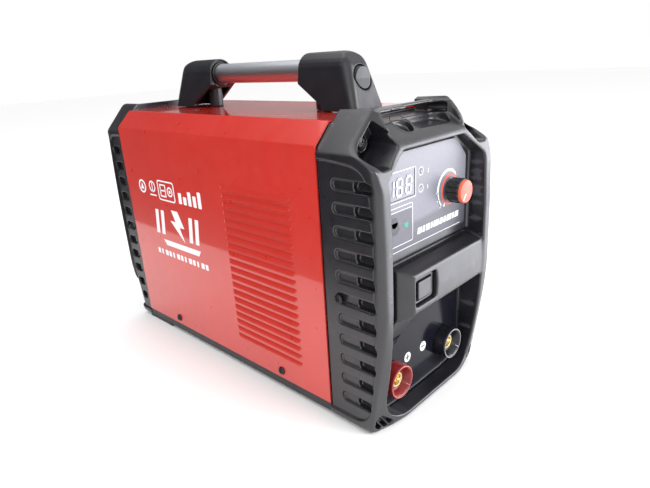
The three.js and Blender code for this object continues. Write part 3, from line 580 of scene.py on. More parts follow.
def front_bezel():
    grid = Grid((-82, -63, -14), (82, 9, 247), 1.0 * FINE)
    x, y, z = grid.x, grid.y, grid.z
    side = grid.across("YZ", [(12, GROUND), (-52.5, GROUND, 6), (-57, 30, 40), (-60, 100, 60),
                              (-60, 150, 60), (-58.5, 190, 30), (-52, 213, 14), (-44, 233, 8),
                              (-31, 244.2, 5), (-13, 242.5, 6), (12, 241)], steps=10)
    plan = grid.across("XY", [(79.6, 12), (79.6, -58, 26), (62, -70, 8), (-62, -70, 8),
                              (-79.6, -58, 26), (-79.6, 12)], steps=10)
    outer = smax(smax(grid.across("XZ", FRONT_OUTLINE), side, 4), plan, 3)
    # A slanted facet cuts each cap in front of its chamfer, down to a sloping shelf.
    facet = 0.534 * (np.abs(x) + z - 291) - 0.655 * (y + 31.5)
    shelf = 0.87 * (z - 215 - 0.56 * (y + 36))
    facet = smin(smin(facet, shelf, 4), (np.abs(x) - 40) * 0.8, 6)
    outer = smax(outer, facet, 2.5)
    low_facet = 0.257 * (np.abs(x) - 50) - 0.954 * (y + 51) - 0.158 * (z + 12)
    outer = smax(outer, low_facet, 3)
    body = outer

    opening = grid.across("XZ", OPENING)
    body = ribs(grid, body, -y, (13, 51.5),
                [(12, -2), (-42, -2, 18), (-49.5, 60, 60), (-50.5, 150, 60), (-47, 205, 30),
                 (-10, 208.5, 8), (12, 208.5)], 4.4, opening - 3.4)
    blend = np.clip((z - 119) / 8, 0, 1)
    floor = -35 - 7 * blend * blend * (3 - 2 * blend)
    body = smax(body, -smax(opening, y - floor, 3), 2.4)

    # The band between the two recesses, with its slanted underside and the blank's cut-out.
    band_side = grid.across("YZ", [(-30, 40), (-34.6, 50, 3), (-46, 78, 5), (-58.6, 85, 5),
                                   (-59.6, 102, 40), (-58.2, 117.5, 3), (-46, 121.5, 5),
                                   (-30, 122)])
    band_plan = grid.across("XY", [(-46, -28), (-46.5, -46.5, 3), (-37.5, -58.8, 2),
                                   (-20, -61, 10), (69, -61), (69, -28)])
    facet = grid.across("XZ", [(-49, 122), (-49, 48), (-38, 48), (2, 79), (69, 84.5), (69, 122)])
    band = smax(smax(band_side, band_plan, 1.5), facet, 2)
    body = smin(body, band, 3)
    cutout = grid.across("XZ", slab((-36.5, 90), (-7.5, 113.5), 3.5))
    body = smax(body, -smax(cutout, y + 51, 1), 1.6)
    seat = grid.across("XZ", slab((-35, 91.5), (-9, 112), 3))
    body = smax(body, -np.maximum(seat, y + 44), 0.8)

    # The scooped top with its grip bar, the oval pocket and the groove along the front.
    tilt = z - (222.5 + 0.68 * (y + 43))
    dished = grid.across("XY", [(-47, -62, 4), (44, -62, 4), (44, -29.5, 14), (-47, -29.5, 12)])
    body = smax(body, -smax(dished, -tilt, 2.5), 3)
    well = grid.across("XY", [(-12, -41.5, 4), (41, -41.5, 10), (41, -22, 10), (-4, -22, 3)])
    body = smax(body, -smax(well, 221 + 0.12 * (y + 42) - z, 2.5), 1.6)
    body = smax(body, -smax(np.abs(x) - 48.5, 239.4 - z, 1), 1.5)
    under = grid.across("XZ", slab((-41, 229.5), (44, 236.8), 3))
    body = smax(body, -np.maximum(under, -(y + 34)), 1.2)
    behind = grid.across("XY", [(-44, -14, 3), (45, -14, 3), (45, 14), (-44, 14)])
    body = smax(body, -np.maximum(behind, 229.5 - z), 1.5)
    oval = np.hypot((x + 20.5) / 8.6, (y + 35) / 7.6)
    pocket = (oval - 1) * 7.6
    body = smax(body, -smax(pocket, -(tilt + 6.5), 1.5), 1.0)
    body = smin(body, smax(np.abs(pocket - 1.1) - 0.6, np.abs(tilt) - 0.45, 0.6), 0.9)
    groove = np.hypot(y + 45.2, z - 217.3) - 1.3
    body = smax(body, -np.maximum(groove, np.abs(x - 13) - 36), 1.2)

    # The corner windows: a screw seat towards the cap, a deep part with two steps below it.
    window = grid.across("XZ", WINDOW, mirrored=True)
    outward = (np.abs(x) + z) / math.sqrt(2)
    seat_y = -27.0 + 2.5 * (outward < 191.5) + 7.5 * (outward < 188.5)
    body = smax(body, -smax(window, y - seat_y, 1.0), 1.0)
    boss = np.hypot(np.abs(x) - 61, z - 219)
    body = smin(body, smax(np.abs(boss - 5.9) - 0.8, np.abs(y + 27) - 3, 0.6), 0.8)

    # The pockets with fins at the lower corners.
    low_pocket = grid.across("XZ", [(56, -6, 3), (69, 5.5, 3), (74.5, 3, 3), (74, -6, 3),
                                    (69, -9, 3), (60, -9, 3)], mirrored=True)
    fins = np.abs((np.abs(x) * 0.8 - z * 0.6) % 4.6 - 2.3) - 0.8
    body = smax(body, -smax(low_pocket, -(outer + 4.5), 1), 1.2)
    body = smin(body, smax(np.maximum(fins, low_pocket - 0.5), outer + 1.6, 0.6), 0.6)

    for socket_x in (-SOCKET_X, SOCKET_X):
        away = np.hypot(x - socket_x, z - SOCKET_Z)
        body = np.maximum(body, 12.8 - away + np.maximum(y - 2, 0))
    knob_hole = np.hypot(x - KNOB_X, z - KNOB_Z) - 4.4
    body = np.maximum(body, -np.maximum(knob_hole, y + 25))

    hollow = np.maximum(grid.across("XZ", INNER), -(y + 30))
    body = np.maximum(body, -np.maximum(hollow, -(outer + 6)))
    body = np.maximum(body, y)
    body = np.minimum(body, tongue(grid, y - 3))
    bezel_piece("front_bezel_moulding", grid, body, "front_bezel")


def rear_bezel():
    grid = Grid((-82, 250, -14), (82, 343, 247), 1.1 * FINE)
    x, y, z = grid.x, grid.y, grid.z
    side = grid.across("YZ", [(290, GROUND), (290, 241), (REAR_END - 3, 241, 5),
                              (REAR_END - 8, 205, 20), (REAR_END, 130, 80),
                              (REAR_END - 3, 60, 60), (REAR_END - 17, GROUND, 8)], steps=10)
    plan = grid.across("XY", [(-79.6, 290), (79.6, 290), (79.6, REAR_END - 2, 18),
                              (60, REAR_END + 5, 5), (-60, REAR_END + 5, 5),
                              (-79.6, REAR_END - 2, 18)], steps=10)
    outer = smax(smax(grid.across("XZ", OUTLINE), side, 5), plan, 4)
    opening = grid.across("XZ", [(-65, -4, 12), (65, -4, 12), (65, 194, 6), (41, 211, 6),
                                 (-41, 211, 6), (-65, 194, 6)])
    body = ribs(grid, outer, y - COVER_END, (7, 25),
                [(290, -2), (REAR_END - 10, -2, 14), (REAR_END - 8, 150, 60),
                 (REAR_END - 12, 207, 20), (COVER_END + 8, 208.5, 8), (290, 208.5)], 3.0,
                opening - 3.4)
    body = smax(body, -smax(opening, REAR_PANEL - y, 2.5), 3)
    dip = grid.across("XZ", [(-44, 236.5, 3), (44, 236.5, 3), (48, 250), (-48, 250)])
    body = smax(body, -np.maximum(dip, COVER_END + 4 - y), 4)
    window = grid.across("XZ", WINDOW, mirrored=True)
    body = smax(body, -smax(window, REAR_PANEL + 0.5 - y, 1.2), 1.6)
    fan = np.hypot(x, z - 100)
    body = np.maximum(body, -np.maximum(fan - 42, np.abs(y - REAR_PANEL) - 12))
    raised = np.maximum(np.abs(fan - 47) - 1.2, np.abs(y - REAR_PANEL) - 1)
    body = smin(body, raised, 0.8)
    switch = np.maximum(np.abs(x - 40) - 11, np.abs(z - 184) - 14.5)
    gland = np.hypot(x + 44, z - 186) - 8.3
    earth = np.hypot(x - 48, z - 24) - 3.3
    holes = np.minimum(np.minimum(switch, gland), earth)
    body = np.maximum(body, -np.maximum(holes, np.abs(y - REAR_PANEL) - 12))
    hollow = np.maximum(grid.across("XZ", INNER), y - (REAR_PANEL - 3))
    body = np.maximum(body, -np.maximum(hollow, -(outer + 6)))
    body = np.maximum(body, COVER_END - y)
    body = np.minimum(body, tongue(grid, y - COVER_END + 3))
    skid = np.maximum(np.abs(np.abs(x) - 66.5) - 10.5, np.abs(z + 10.4) - 1.6)
    runner = smax(skid, 256 - y, 3)
    body = np.minimum(body, np.maximum(runner, y - 306))
    bezel_piece("rear_bezel_moulding", grid, body, "rear_bezel")


front_bezel()
rear_bezel()


def handle_support(place):
    """One support, drawn with its open face at y = 0 and its closed end towards -Y."""
    grid = Grid((-22, -72, 232), (22, 2, 284), 0.6 * FINE)
    x, y, z = grid.x, grid.y, grid.z
    arch = [(-20, 234), (20, 234)] + [
        (14.8 * math.cos(a), 266.5 + 14.8 * math.sin(a)) for a in np.linspace(0, math.pi, 15)]
    side = [(0, 256.3, 1), (0, 290), (-30, 290), (-48, 280, 8), (-57.5, 271, 10), (-68.5, 234),
            (-30, 234), (-30, 238, 2)]
    body = smax(grid.across("XZ", arch), grid.across("YZ", side), 2)
    below = 267 - z
    taper = np.abs(x) - (11 + 0.19 * below) - 0.82 * (y + 57.5 + 0.3 * below)
    body = smax(body, taper / 1.3, 2.5)
    body = np.maximum(body, 234 - z)
    axis = np.hypot(x, z - 266.7)
    body = np.maximum(body, -np.maximum(axis - 9.8, -(y + 44)))
    body = smax(body, -np.maximum(np.abs(axis - 12.2) - 0.8, -(y + 3)), 0.8)
    hollow = grid.across("YZ", [(-4, 252.5, 2), (-31, 232), (-58, 232), (-52, 250, 4),
                                (-8, 253, 2)])
    body = smax(body, -smax(hollow, np.abs(x) - 13, 2), 1)
    if place == "front":
        dimple = np.hypot(x, z - 260)
        body = smax(body, -np.maximum(np.abs(dimple - 9.6) - 0.5, np.abs(y + 55) - 12), 0.4)
    boss = smax(np.hypot(x, y + 16) - 7.2, z - 256, 1)
    boss = np.maximum(np.maximum(boss, 234 - z), 2.2 - np.hypot(x, y + 16) - np.maximum(z - 247, 0))
    body = smin(body, boss, 1.5)
    points, quads = grid.surface(body)
    if place == "rear":
        points = points * (1, -1, 1) + (0, 207, 0)
        quads = quads[:, ::-1]
    else:
        points = points + (0, 78.5, 0)
    piece = put(f"{place}_handle_moulding", points, quads, HANDLE, "handle_plastic",
                replaces=[f"{place}_handle_support"])
    thinned(piece, SUPPORT_SHARE)


handle_support("front")
handle_support("rear")

# ------------------------------------------------------------------ turned pieces


def turned(name, profile, centre, material, slot, segments=64, body="housing", replaces=(),
           angle=35, turns=None):
    """A lathe piece along Y. The profile is (radius, y) pairs, and turns may vary the radius."""
    vertices = []
    for radius, y in profile:
        for i in range(segments):
            a = 2 * math.pi * i / segments
            r = radius if turns is None else turns(radius, a, y)
            vertices.append((centre[0] + r * math.cos(a), y, centre[1] + r * math.sin(a)))
    faces = quads_of(len(profile), segments, closed=True)
    if profile[0] != profile[-1]:
        faces.append(list(range(segments))[::-1])
        faces.append([(len(profile) - 1) * segments + i for i in range(segments)])
    piece = put(name, vertices, faces, material, slot, body, replaces=replaces)
    return sharpen(piece, angle)


turned("handle_tube_drawn", [(8, 36), (9.2, 35.6), (9.5, 36), (9.5, 249.6), (9.2, 250), (8, 249.6),
                             (8, 36)], (0, 266.7), ALUMINIUM, "tube_aluminium",
       replaces=["handle_tube"], segments=96)

# ------------------------------------------------------------------ prints and plates


def ring(centre, inner, outer, start=0.0, sweep=360.0, steps=40):
    """Quads of a flat ring or arc, angles in degrees from the first axis."""
    quads = []
    for i in range(steps):
        a, b = (math.radians(start + sweep * t / steps) for t in (i, i + 1))
        quads.append([(centre[0] + r * math.cos(t), centre[1] + r * math.sin(t))
                      for r, t in ((inner, a), (outer, a), (outer, b), (inner, b))])
    return quads


def disc(centre, radius, steps=36):
    return [[(centre[0] + radius * math.cos(2 * math.pi * i / steps),
              centre[1] + radius * math.sin(2 * math.pi * i / steps)) for i in range(steps)]]


def stroke(points, width, closed=False):
    """Quads of a line of a given width through points, mitred at its corners."""
    path = [np.array(p, float) for p in points]
    count = len(path)
    left, right = [], []
    for i, p in enumerate(path):
        before = path[i - 1] if closed or i else None
        after = path[(i + 1) % count] if closed or i < count - 1 else None
        ways = [w / np.linalg.norm(w) for w in
                ([p - before] if before is not None else []) +
                ([after - p] if after is not None else [])]
        way = sum(ways)
        way = way / np.linalg.norm(way)
        normal = np.array([-way[1], way[0]])
        mitre = width / 2 / max(0.3, abs(np.array([-ways[0][1], ways[0][0]]) @ normal))
        left.append(p + normal * mitre)
        right.append(p - normal * mitre)
    spans = range(count) if closed else range(count - 1)
    return [[tuple(right[i]), tuple(right[(i + 1) % count]), tuple(left[(i + 1) % count]),
             tuple(left[i])] for i in spans]


def rectangle(low, high, radius=0.0):
    return [tuple(p) for p in rounded(slab(low, high, radius), 4)]


def decal(name, shapes, plane, at, out, material, slot, thick=0.12, body="housing"):
    """Thin printed shapes on a plane across an axis, standing out by a film's thickness."""
    vertices, faces = [], []
    for shape in shapes:
        base = len(vertices)
        count = len(shape)
        for depth in (at + out * thick, at - out * 0.05):
            for u, v in shape:
                vertices.append((u, depth, v) if plane == "Y" else (depth, u, v))
        area = sum(shape[i - 1][0] * shape[i][1] - shape[i][0] * shape[i - 1][1]
                   for i in range(count))
        facing = (area > 0) == ((out < 0) if plane == "Y" else (out > 0))
        front = list(range(base, base + count))
        faces.append(front if facing else front[::-1])
        for i in range(count):
            k = (i + 1) % count
            side = [base + i, base + count + i, base + count + k, base + k]
            faces.append(side if facing else side[::-1])
    return put(name, vertices, faces, material, slot, body, smooth=False)


LABEL_FACE = -43.9


def segments(centre, size, lit, width, slant=0.06):
    """The bars of one seven-segment numeral."""
    (cx, cz), (w, h) = centre, size
    ends = {"a": ((-1, 1), (1, 1)), "b": ((1, 1), (1, 0)), "c": ((1, 0), (1, -1)),
            "d": ((-1, -1), (1, -1)), "e": ((-1, -1), (-1, 0)), "f": ((-1, 0), (-1, 1)),
            "g": ((-1, 0), (1, 0))}
    shapes = []
    for key in lit:
        a, b = (np.array([p[0] * (w - width) / 2, p[1] * (h - width) / 2]) for p in ends[key])
        way = (b - a) / np.linalg.norm(b - a)
        side = np.array([-way[1], way[0]]) * width / 2
        a, b = a + way * 0.35, b - way * 0.35
        tip = way * width / 2
        bar = [a, a + tip - side, b - tip - side, b, b - tip + side, a + tip + side]
        shapes.append([(cx + p[0] + slant * p[1], cz + p[1]) for p in bar])
    return shapes


def label_prints():
    white = stroke(rectangle((-60.4, 173.6), (-16.2, 196.2), 0.8), 0.55, True)
    for x, lit in ((-47.4, "bc"), (-36.8, "abcdefg"), (-25.2, "abcdefg")):
        white += segments((x, 184.2), (8.2, 14.2), lit, 1.75)
    for z in (191.3, 177.9):
        white += ring((-9, z), 2.9, 3.3)
    white += stroke([(-9.6, 192.6), (-8.2, 191.4), (-9.8, 191.2), (-8.4, 189.9)], 0.35)
    white += ring((-9, 177.9), 1.2, 1.6, 120, 300)
    for z in (188.6, 190.6):
        white += stroke([(0.2, z), (1.4, z + 0.9)], 0.5)
    white += stroke([(0.2, 175.9), (0.2, 178.9)], 0.6)
    white += stroke(rectangle((-58, 139.5), (-20.3, 169.6), 1.5), 0.5, True)
    white += stroke([(-58, 166.4), (-20.3, 166.4)], 0.4)
    white += ring((31.2, 168.6), 15.2, 17.4, 95, 130)
    white += [[(31.2 + r * math.cos(math.radians(a)), 168.6 + r * math.sin(math.radians(a)))
               for a, r in ((95, 15.2), (95, 17.4), (72, 17.3), (52, 16.4), (38, 15.0),
                            (52, 14.6), (72, 14.8))]]
    white += ring((31.2, 168.6), 16.6, 17.4, 180, 48)
    for a in (180, 203, 226):
        p = [(31.2 + r * math.cos(math.radians(a)), 168.6 + r * math.sin(math.radians(a)))
             for r in (15.0, 18.6)]
        white += stroke(p, 0.7)
    white += [[(23.2, 155.2), (26.4, 155.2), (24.8, 159.2)]]
    white += stroke([(-57, 135), (50.5, 135)], 0.45)
    decal("label_marks", white, "Y", LABEL_FACE, -1, PRINT, None)
    plug = disc((-43.5, 158.5), 4.2) + [[(-47.7, 158.5), (-39.3, 158.5), (-37.2, 152.5),
                                        (-40.5, 149), (-47.7, 149)]]
    decal("label_pictogram", plug, "Y", LABEL_FACE, -1, PRINT_DARK, None)
    star = []
    for i in range(14):
        r = 3.6 if i % 2 == 0 else 1.7
        a = 2 * math.pi * i / 14
        star.append((-28.6 + r * math.cos(a), 153.6 + r * math.sin(a)))
    decal("label_spark", [star], "Y", LABEL_FACE, -1, PRINT_GREEN, None)
    # A dark field behind the pictograms and a bar where the maker's type line would be.
    decal("label_field", [rectangle((-57, 140.5), (-21.3, 165.6), 1)], "Y", LABEL_FACE + 0.03, -1,
          LABEL_TONE, "label_film", thick=0.06)
    bars = []
    x = -14.5
    for width in (5.5, 3.2, 5.5, 2.2, 7.5, 4.4, 3.2, 7.5, 2.2, 5.5):
        bars.append([(x + 0.6, 141.6), (x + width + 0.6, 141.6), (x + width + 1.4, 146.6),
                     (x + 1.4, 146.6)])
        x += width + 1.6
    decal("label_bars", bars, "Y", LABEL_FACE, -1, PRINT, None)


label_prints()


def side_prints(sign, side):
    """Plain marks on the cover's side: four signs in a row, an emblem over its band, and a line."""
    shapes = ring((268, 156.5), 5.4, 7.4) + [[(264.6, 153.6), (271.4, 153.6), (268, 160.6)]]
    shapes += ring((247, 158.5), 4.6, 6.2) + stroke([(240.5, 149.3), (253.5, 149.3)], 1.5)
    shapes += stroke([(247, 152.5), (247, 163.5)], 1.3)
    shapes += stroke(rectangle((204.5, 146.5), (235, 166.5), 3), 1.5, True)
    shapes += ring((212.6, 156.5), 3.6, 5.2) + disc((212.6, 156.5), 1.8)
    shapes += stroke([(221, 150.5), (221, 162.5), (230.5, 162.5), (230.5, 150.5)], 1.5, True)
    shapes += stroke([(221, 156.5), (230.5, 156.5)], 1.5)
    for i, top in enumerate((158, 155, 161, 158, 163)):
        shapes.append(rectangle((191.5 - 8.6 * i, 146.8), (197 - 8.6 * i, top), 0.8))
    shapes += [[(216, 137), (204, 137), (195, 120), (204, 120), (197, 104.5), (220, 125),
                (210, 125)]]
    for start in (252, 241, 188, 177):
        shapes.append([(start, 107), (start - 6, 107), (start - 10, 134), (start - 4, 134)])
    shapes += [[(240, 101), (170, 101), (174, 95), (235, 95)]]
    for i in range(13):
        width = (4.6, 3.2, 5.6)[i % 3]
        start = 256 - i * 7.6
        shapes.append(rectangle((start - width, 82.5), (start, 88.5), 0.5))
    decal(f"cover_marks_{side}", shapes, "X", sign * 77.82, sign, PRINT, None)


side_prints(-1, "left")
side_prints(1, "right")

# ------------------------------------------------------------------ louvres


def louvres(sign, side):
    """Pressed hoods over the cover's slots, open along their lower edge and at their rear end."""
    lip = [(0.0, 3.0), (0.35, 2.5), (0.85, 1.5), (1.3, 0.4), (1.6, -0.7), (1.7, -1.2),
           (1.45, -1.4), (1.2, -1.1), (0.7, 0.5), (0.1, 1.6)]
    steps, rows = 20, 20
    front_end, rear_end = 31.4, 122
    vertices, faces = [], []
    for row in range(rows):
        z = 24 + row * (172.5 - 24) / (rows - 1)
        base = len(vertices)
        for i in range(steps + 1):
            t = i / steps
            y = front_end + (rear_end - front_end) * (0.5 - 0.5 * math.cos(math.pi * t))
            front = min(1, (y - front_end) / 3) ** 0.6
            rear = min(1, (rear_end - y) / 1.6) ** 0.5
            rise = 0.02 + front * (0.25 + 0.75 * rear)
            for out, up in lip:
                vertices.append((sign * (77.78 + out * rise), y,
                                 z + 3.0 - (3.0 - up) * (0.35 + 0.65 * min(1, rise))))
        faces += quads_of(steps + 1, len(lip), base, flip=sign < 0)
    piece = put(f"cover_louvres_{side}", vertices, faces, RED, "cover_paint")
    return sharpen(piece, 50)


louvres(-1, "left")
louvres(1, "right")

# ------------------------------------------------------------------ screws


def screw_shape(radius, height, step):
    """A domed screw head with a cross recess and a washer flange, standing along +Z."""
    grid = Grid((-radius - 1, -radius - 1, -1), (radius + 1, radius + 1, height + 1.4), step)
    x, y, z = grid.x, grid.y, grid.z
    r = np.hypot(x, y)
    dome = np.hypot(r * 0.62, z + radius * 0.35) - (height + radius * 0.35)
    body = smax(smax(dome, r - radius * 0.84, 0.6), -z, 0.2)
    flange = smax(r - radius, np.abs(z - 0.3) - 0.5, 0.4)
    body = smin(body, flange, 0.4)
    arm = np.minimum(np.maximum(np.abs(x) - radius * 0.5, np.abs(y) - radius * 0.1),
                     np.maximum(np.abs(y) - radius * 0.5, np.abs(x) - radius * 0.1))
    floor_z = height * 0.35
    body = smax(body, -np.maximum(arm, floor_z + r * 0.25 - z), 0.25)
    return grid.surface(body)


small_screw = screw_shape(4.0, 2.3, 0.32 * FINE)
large_screw = screw_shape(4.8, 2.6, 0.36 * FINE)


def place_screw(name, shape, place, facing):
    """facing is the outward axis and its sign, such as ("X", -1)."""
    axis, sign = facing
    u, v, w = shape[0].T
    points = (np.stack([w * sign, u, v], 1) if axis == "X" else np.stack([v, w * sign, u], 1))
    faces = shape[1] if sign > 0 else shape[1][:, ::-1]
    put(f"{name}_head", points + np.array(place), faces, SCREW, "screw_steel", replaces=[name])


for side, sign in (("left", -1), ("right", 1)):
    for end, y in (("front", 61), ("rear", 234)):
        place_screw(f"cover_screw_{side}_{end}", small_screw, (sign * 77.8, y, 7.5), ("X", sign))
    place_screw(f"bezel_screw_{side}_front", small_screw, (sign * 77.2, -15, 101.5), ("X", sign))
    place_screw(f"bezel_screw_{side}_rear", small_screw, (sign * 77.2, 313.2, 101.5),
                ("X", sign))
    place_screw(f"corner_screw_{side}_front", large_screw, (sign * 61, -28.5, 219), ("Y", -1))
    place_screw(f"corner_screw_{side}_rear", large_screw, (sign * 58, REAR_PANEL + 0.3, 218.5),
                ("Y", 1))

# ------------------------------------------------------------------ knob, blank and sockets


def fluted(radius, angle, height):
    if radius < 9.5 or height < -56.8:
        return radius
    dip = max(0.0, math.cos(14 * angle)) ** 3
    return radius - 0.85 * dip


turned("knob_grip", [(0.5, -57.3), (9.4, -57.3), (9.9, -57.0), (10.35, -56.2), (10.5, -54.5),
                     (10.5, -50), (10.5, -48), (10.6, -47.2), (9.8, -46.6), (3.4, -46.6),
                     (3.4, -53), (0.5, -53)],
       (KNOB_X, KNOB_Z), KNOB, "knob_plastic", segments=224, body="knob", replaces=["current_knob"],
       turns=fluted, angle=50)
turned("knob_face", [(0.1, -60.0), (8.2, -60.0), (9.1, -59.7), (9.5, -59.0), (9.6, -57.35),
                     (0.1, -57.35)],
       (KNOB_X, KNOB_Z), CORAL, "knob_cap_plastic", segments=96, body="knob", replaces=["knob_cap"])
POINTER_WAY = np.array([-0.64, -0.77])
pointer = [(KNOB_X, KNOB_Z) + POINTER_WAY * reach for reach in (2.2, 8.6)]
decal("knob_pointer", stroke(pointer, 1.2), "Y", -60.0, -1, PRINT, "knob_plastic", body="knob")
turned("knob_scale_ring", [(11.2, -44.2), (12.6, -44.2), (12.8, -43.9), (11.0, -43.9),
                           (11.2, -44.2)], (KNOB_X, KNOB_Z), CORAL, "knob_cap_plastic",
       segments=96)


def blank():
    grid = Grid((-37.5, -60, 89), (-6.5, -45, 114.5), 0.4 * FINE)
    x, y, z = grid.x, grid.y, grid.z
    rim = grid.across("XZ", slab((-35.5, 91), (-8.5, 112.5), 3))
    body = smax(rim, np.abs(y + 51.5) - 4, 1.2)
    gutter = grid.across("XZ", slab((-32.3, 93.2), (-11.7, 110.3), 2))
    body = smax(body, -np.maximum(gutter, y + 53.2), 0.8)
    button = grid.across("XZ", slab((-31, 94.2), (-13, 109.3), 1.8))
    body = np.minimum(body, smax(button, np.abs(y + 53.4) - 3.4, 1.2))
    put("band_blank", *grid.surface(body), BLACK, "bezel_plastic", replaces=["switch_blank"])


blank()


def groove_mark(name, points, material, slot):
    """A thin raised line between two points of the socket's dished face."""
    a, b = (np.array(p, float) for p in points)
    a = a + (b - a) * 0.72
    way = (b - a) / np.linalg.norm(b - a)
    side = np.cross(way, (0, 1, 0))
    side = side / np.linalg.norm(side) * 0.28
    lift = np.cross(side, way)
    lift = lift / np.linalg.norm(lift) * 0.25
    lift = lift if lift[1] < 0 else -lift
    corners = [a - side, a + side, a + side + lift, a - side + lift]
    corners += [c + (b - a) for c in corners]
    faces = [(0, 1, 2, 3), (7, 6, 5, 4), (0, 4, 5, 1), (1, 5, 6, 2), (2, 6, 7, 3), (3, 7, 4, 0)]
    put(name, corners, faces, material, slot, smooth=False)


def socket(sign, x, material, slot, edge):
    """A welding socket: the insulator, its brass contact, the rim's edge and the keyway's mark."""
    centre = (x, SOCKET_Z)
    turned(f"{sign}_socket_body",
           [(7.2, -36.5), (7.4, -38.6), (8.2, -39.6), (9.6, -40.4), (11.9, -46.2),
            (12.4, -46.8), (13.2, -47.1), (13.9, -46.9), (14.3, -46.4), (14.5, -45.5),
            (14.5, -35.3), (12.4, -35.3), (12.4, -22), (7.2, -22), (7.2, -36.5)],
           centre, material, slot, segments=96, replaces=[f"{sign}_socket"], angle=30)
    turned(f"{sign}_socket_insert",
           [(4.3, -24), (4.3, -41.2), (4.7, -41.8), (5.6, -42.1), (6.5, -41.9), (6.9, -41.3),
            (6.9, -39.4), (6.9, -14), (4.3, -14), (4.3, -24)],
           centre, BRASS, "contact_brass", segments=72, replaces=[f"{sign}_contact"])
    turned(f"{sign}_socket_edge",
           [(13.25, -47.15), (13.6, -47.28), (13.95, -47.1), (13.6, -46.9), (13.25, -47.15)],
           centre, edge, slot, segments=96)
    groove_mark(f"{sign}_socket_mark", [(x + 0.6, -41.4, 20.9), (x + 9.8, -47.0, 12.7)], edge, slot)


socket("positive", -SOCKET_X, RED_INSULATOR, "red_insulator", EDGE_RED)
socket("negative", SOCKET_X, BLACK_INSULATOR, "black_insulator", EDGE_GREY)

for sign, x in (("positive", -15.6), ("negative", 7.9)):
    decal(f"{sign}_disc", disc((x, 28.2), 4.6), "Y", -34.98, -1, PRINT, None, thick=0.2)
    cross = stroke([(x - 2.8, 28.2), (x + 2.8, 28.2)], 1.2)
    if sign == "positive":
        cross += stroke([(x, 25.4), (x, 31)], 1.2)
    decal(f"{sign}_mark", cross, "Y", -35.18, -1, PRINT_DARK, None, thick=0.05)

# ------------------------------------------------------------------ rear panel


def torus(name, radius, thick, centre, at, material, slot, sides=12, segments=96, **more):
    profile = [(radius + thick * math.cos(2 * math.pi * i / sides),
                at - thick * math.sin(2 * math.pi * i / sides)) for i in range(sides)]
    return turned(name, profile + profile[:1], centre, material, slot, segments=segments,
                  angle=80, **more)


for i, radius in enumerate((14, 24, 34, 44)):
    torus(f"fan_guard_ring_{i}", radius, 1.0, (0, 100), REAR_PANEL + 2.2, WIRE, "guard_wire",
          replaces=["fan_guard"] if i == 0 else ())


def guard_arms():
    vertices, faces = [], []
    sides = 10
    for k in range(4):
        a = math.radians(45 + 90 * k)
        base = len(vertices)
        for r, y in ((0, 4.2), (40, 4.2), (46, 3.6), (51, 1.6), (56, 0.9), (58, 0.9)):
            for i in range(sides):
                b = 2 * math.pi * i / sides
                side, depth = 1.1 * math.cos(b), 1.1 * math.sin(b)
                vertices.append((r * math.cos(a) - side * math.sin(a), REAR_PANEL + y + depth,
                                 100 + r * math.sin(a) + side * math.cos(a)))
        faces += quads_of(6, sides, base, closed=True)
    put("fan_guard_arms", vertices, faces, WIRE, "guard_wire")


guard_arms()
for k in range(4):
    a = math.radians(45 + 90 * k)
    place = (57 * math.cos(a), 100 + 57 * math.sin(a))
    turned(f"fan_guard_eye_{k}", [(1.5, REAR_PANEL + 0.1), (3.8, REAR_PANEL + 0.1),
                                  (3.8, REAR_PANEL + 1.6), (3.4, REAR_PANEL + 2.6),
                                  (2.2, REAR_PANEL + 3.1), (0.4, REAR_PANEL + 3.2),
                                  (0.4, REAR_PANEL + 0.1), (1.5, REAR_PANEL + 0.1)],
           place, SCREW, "screw_steel", segments=32)


def rotor():
    """A hub with seven twisted blades."""
    turned("fan_hub", [(0.2, 300.9), (16.5, 300.9), (17.6, 301.4), (18, 302.4), (18, 318),
                       (17.4, 319), (16, 319.4), (0.2, 319.4)], (0, 100), FAN_PLASTIC,
           "fan_plastic", body="fan", replaces=["fan_rotor"], segments=72)
    vertices, faces = [], []
    rows, columns = 10, 12
    for k in range(7):
        for face in (0, 1):
            base = len(vertices)
            for i in range(rows + 1):
                r = 17 + (42 - 17) * i / rows
                pitch = math.radians(52 - 22 * i / rows)
                for j in range(columns + 1):
                    s = j / columns - 0.5
                    chord = 15 + 9 * i / rows
                    along = s * chord
                    bow = 2.2 * (0.25 - s * s) * 4
                    y = 310 + along * math.cos(pitch) * 0.72 + bow * math.sin(pitch)
                    swing = along * math.sin(pitch) - bow * math.cos(pitch)
                    y += (0.7 - 1.4 * face) * (1 - 3.4 * s * s)
                    a = 2 * math.pi * k / 7 + swing / r + 0.35 * i / rows
                    vertices.append((r * math.cos(a), y, 100 + r * math.sin(a)))
            faces += quads_of(rows + 1, columns + 1, base, flip=not face)
    put("fan_blades", vertices, faces, FAN_PLASTIC, "fan_plastic", body="fan")


rotor()

turned("cable_gland_body", [(5, 310.5), (8, 310.5), (8, 324.4), (11, 324.4), (11.6, 325),
                            (11.6, 328.2), (11, 328.8), (10.2, 329.2), (10.2, 333), (9.6, 334.6),
                            (8.2, 336.2), (6.4, 336.6), (5.3, 336.2), (5, 335), (5, 310.5)],
       (-44, 186), NYLON, "gland_nylon", replaces=["cable_gland"],
       turns=lambda r, a, h: r - (0.5 * max(0.0, math.cos(12 * a)) if 10 < r < 10.5 else 0),
       segments=144)
turned("earth_stud_rod", [(0.1, 309), (2.6, 309)] + [
    (3.0 - 0.28 * (i % 2), 309.5 + i * 0.5) for i in range(52)] + [(2.4, 336), (0.1, 336.3)],
       (48, 24), BRASS, "plated_steel", replaces=["earth_stud"], segments=40, angle=20)


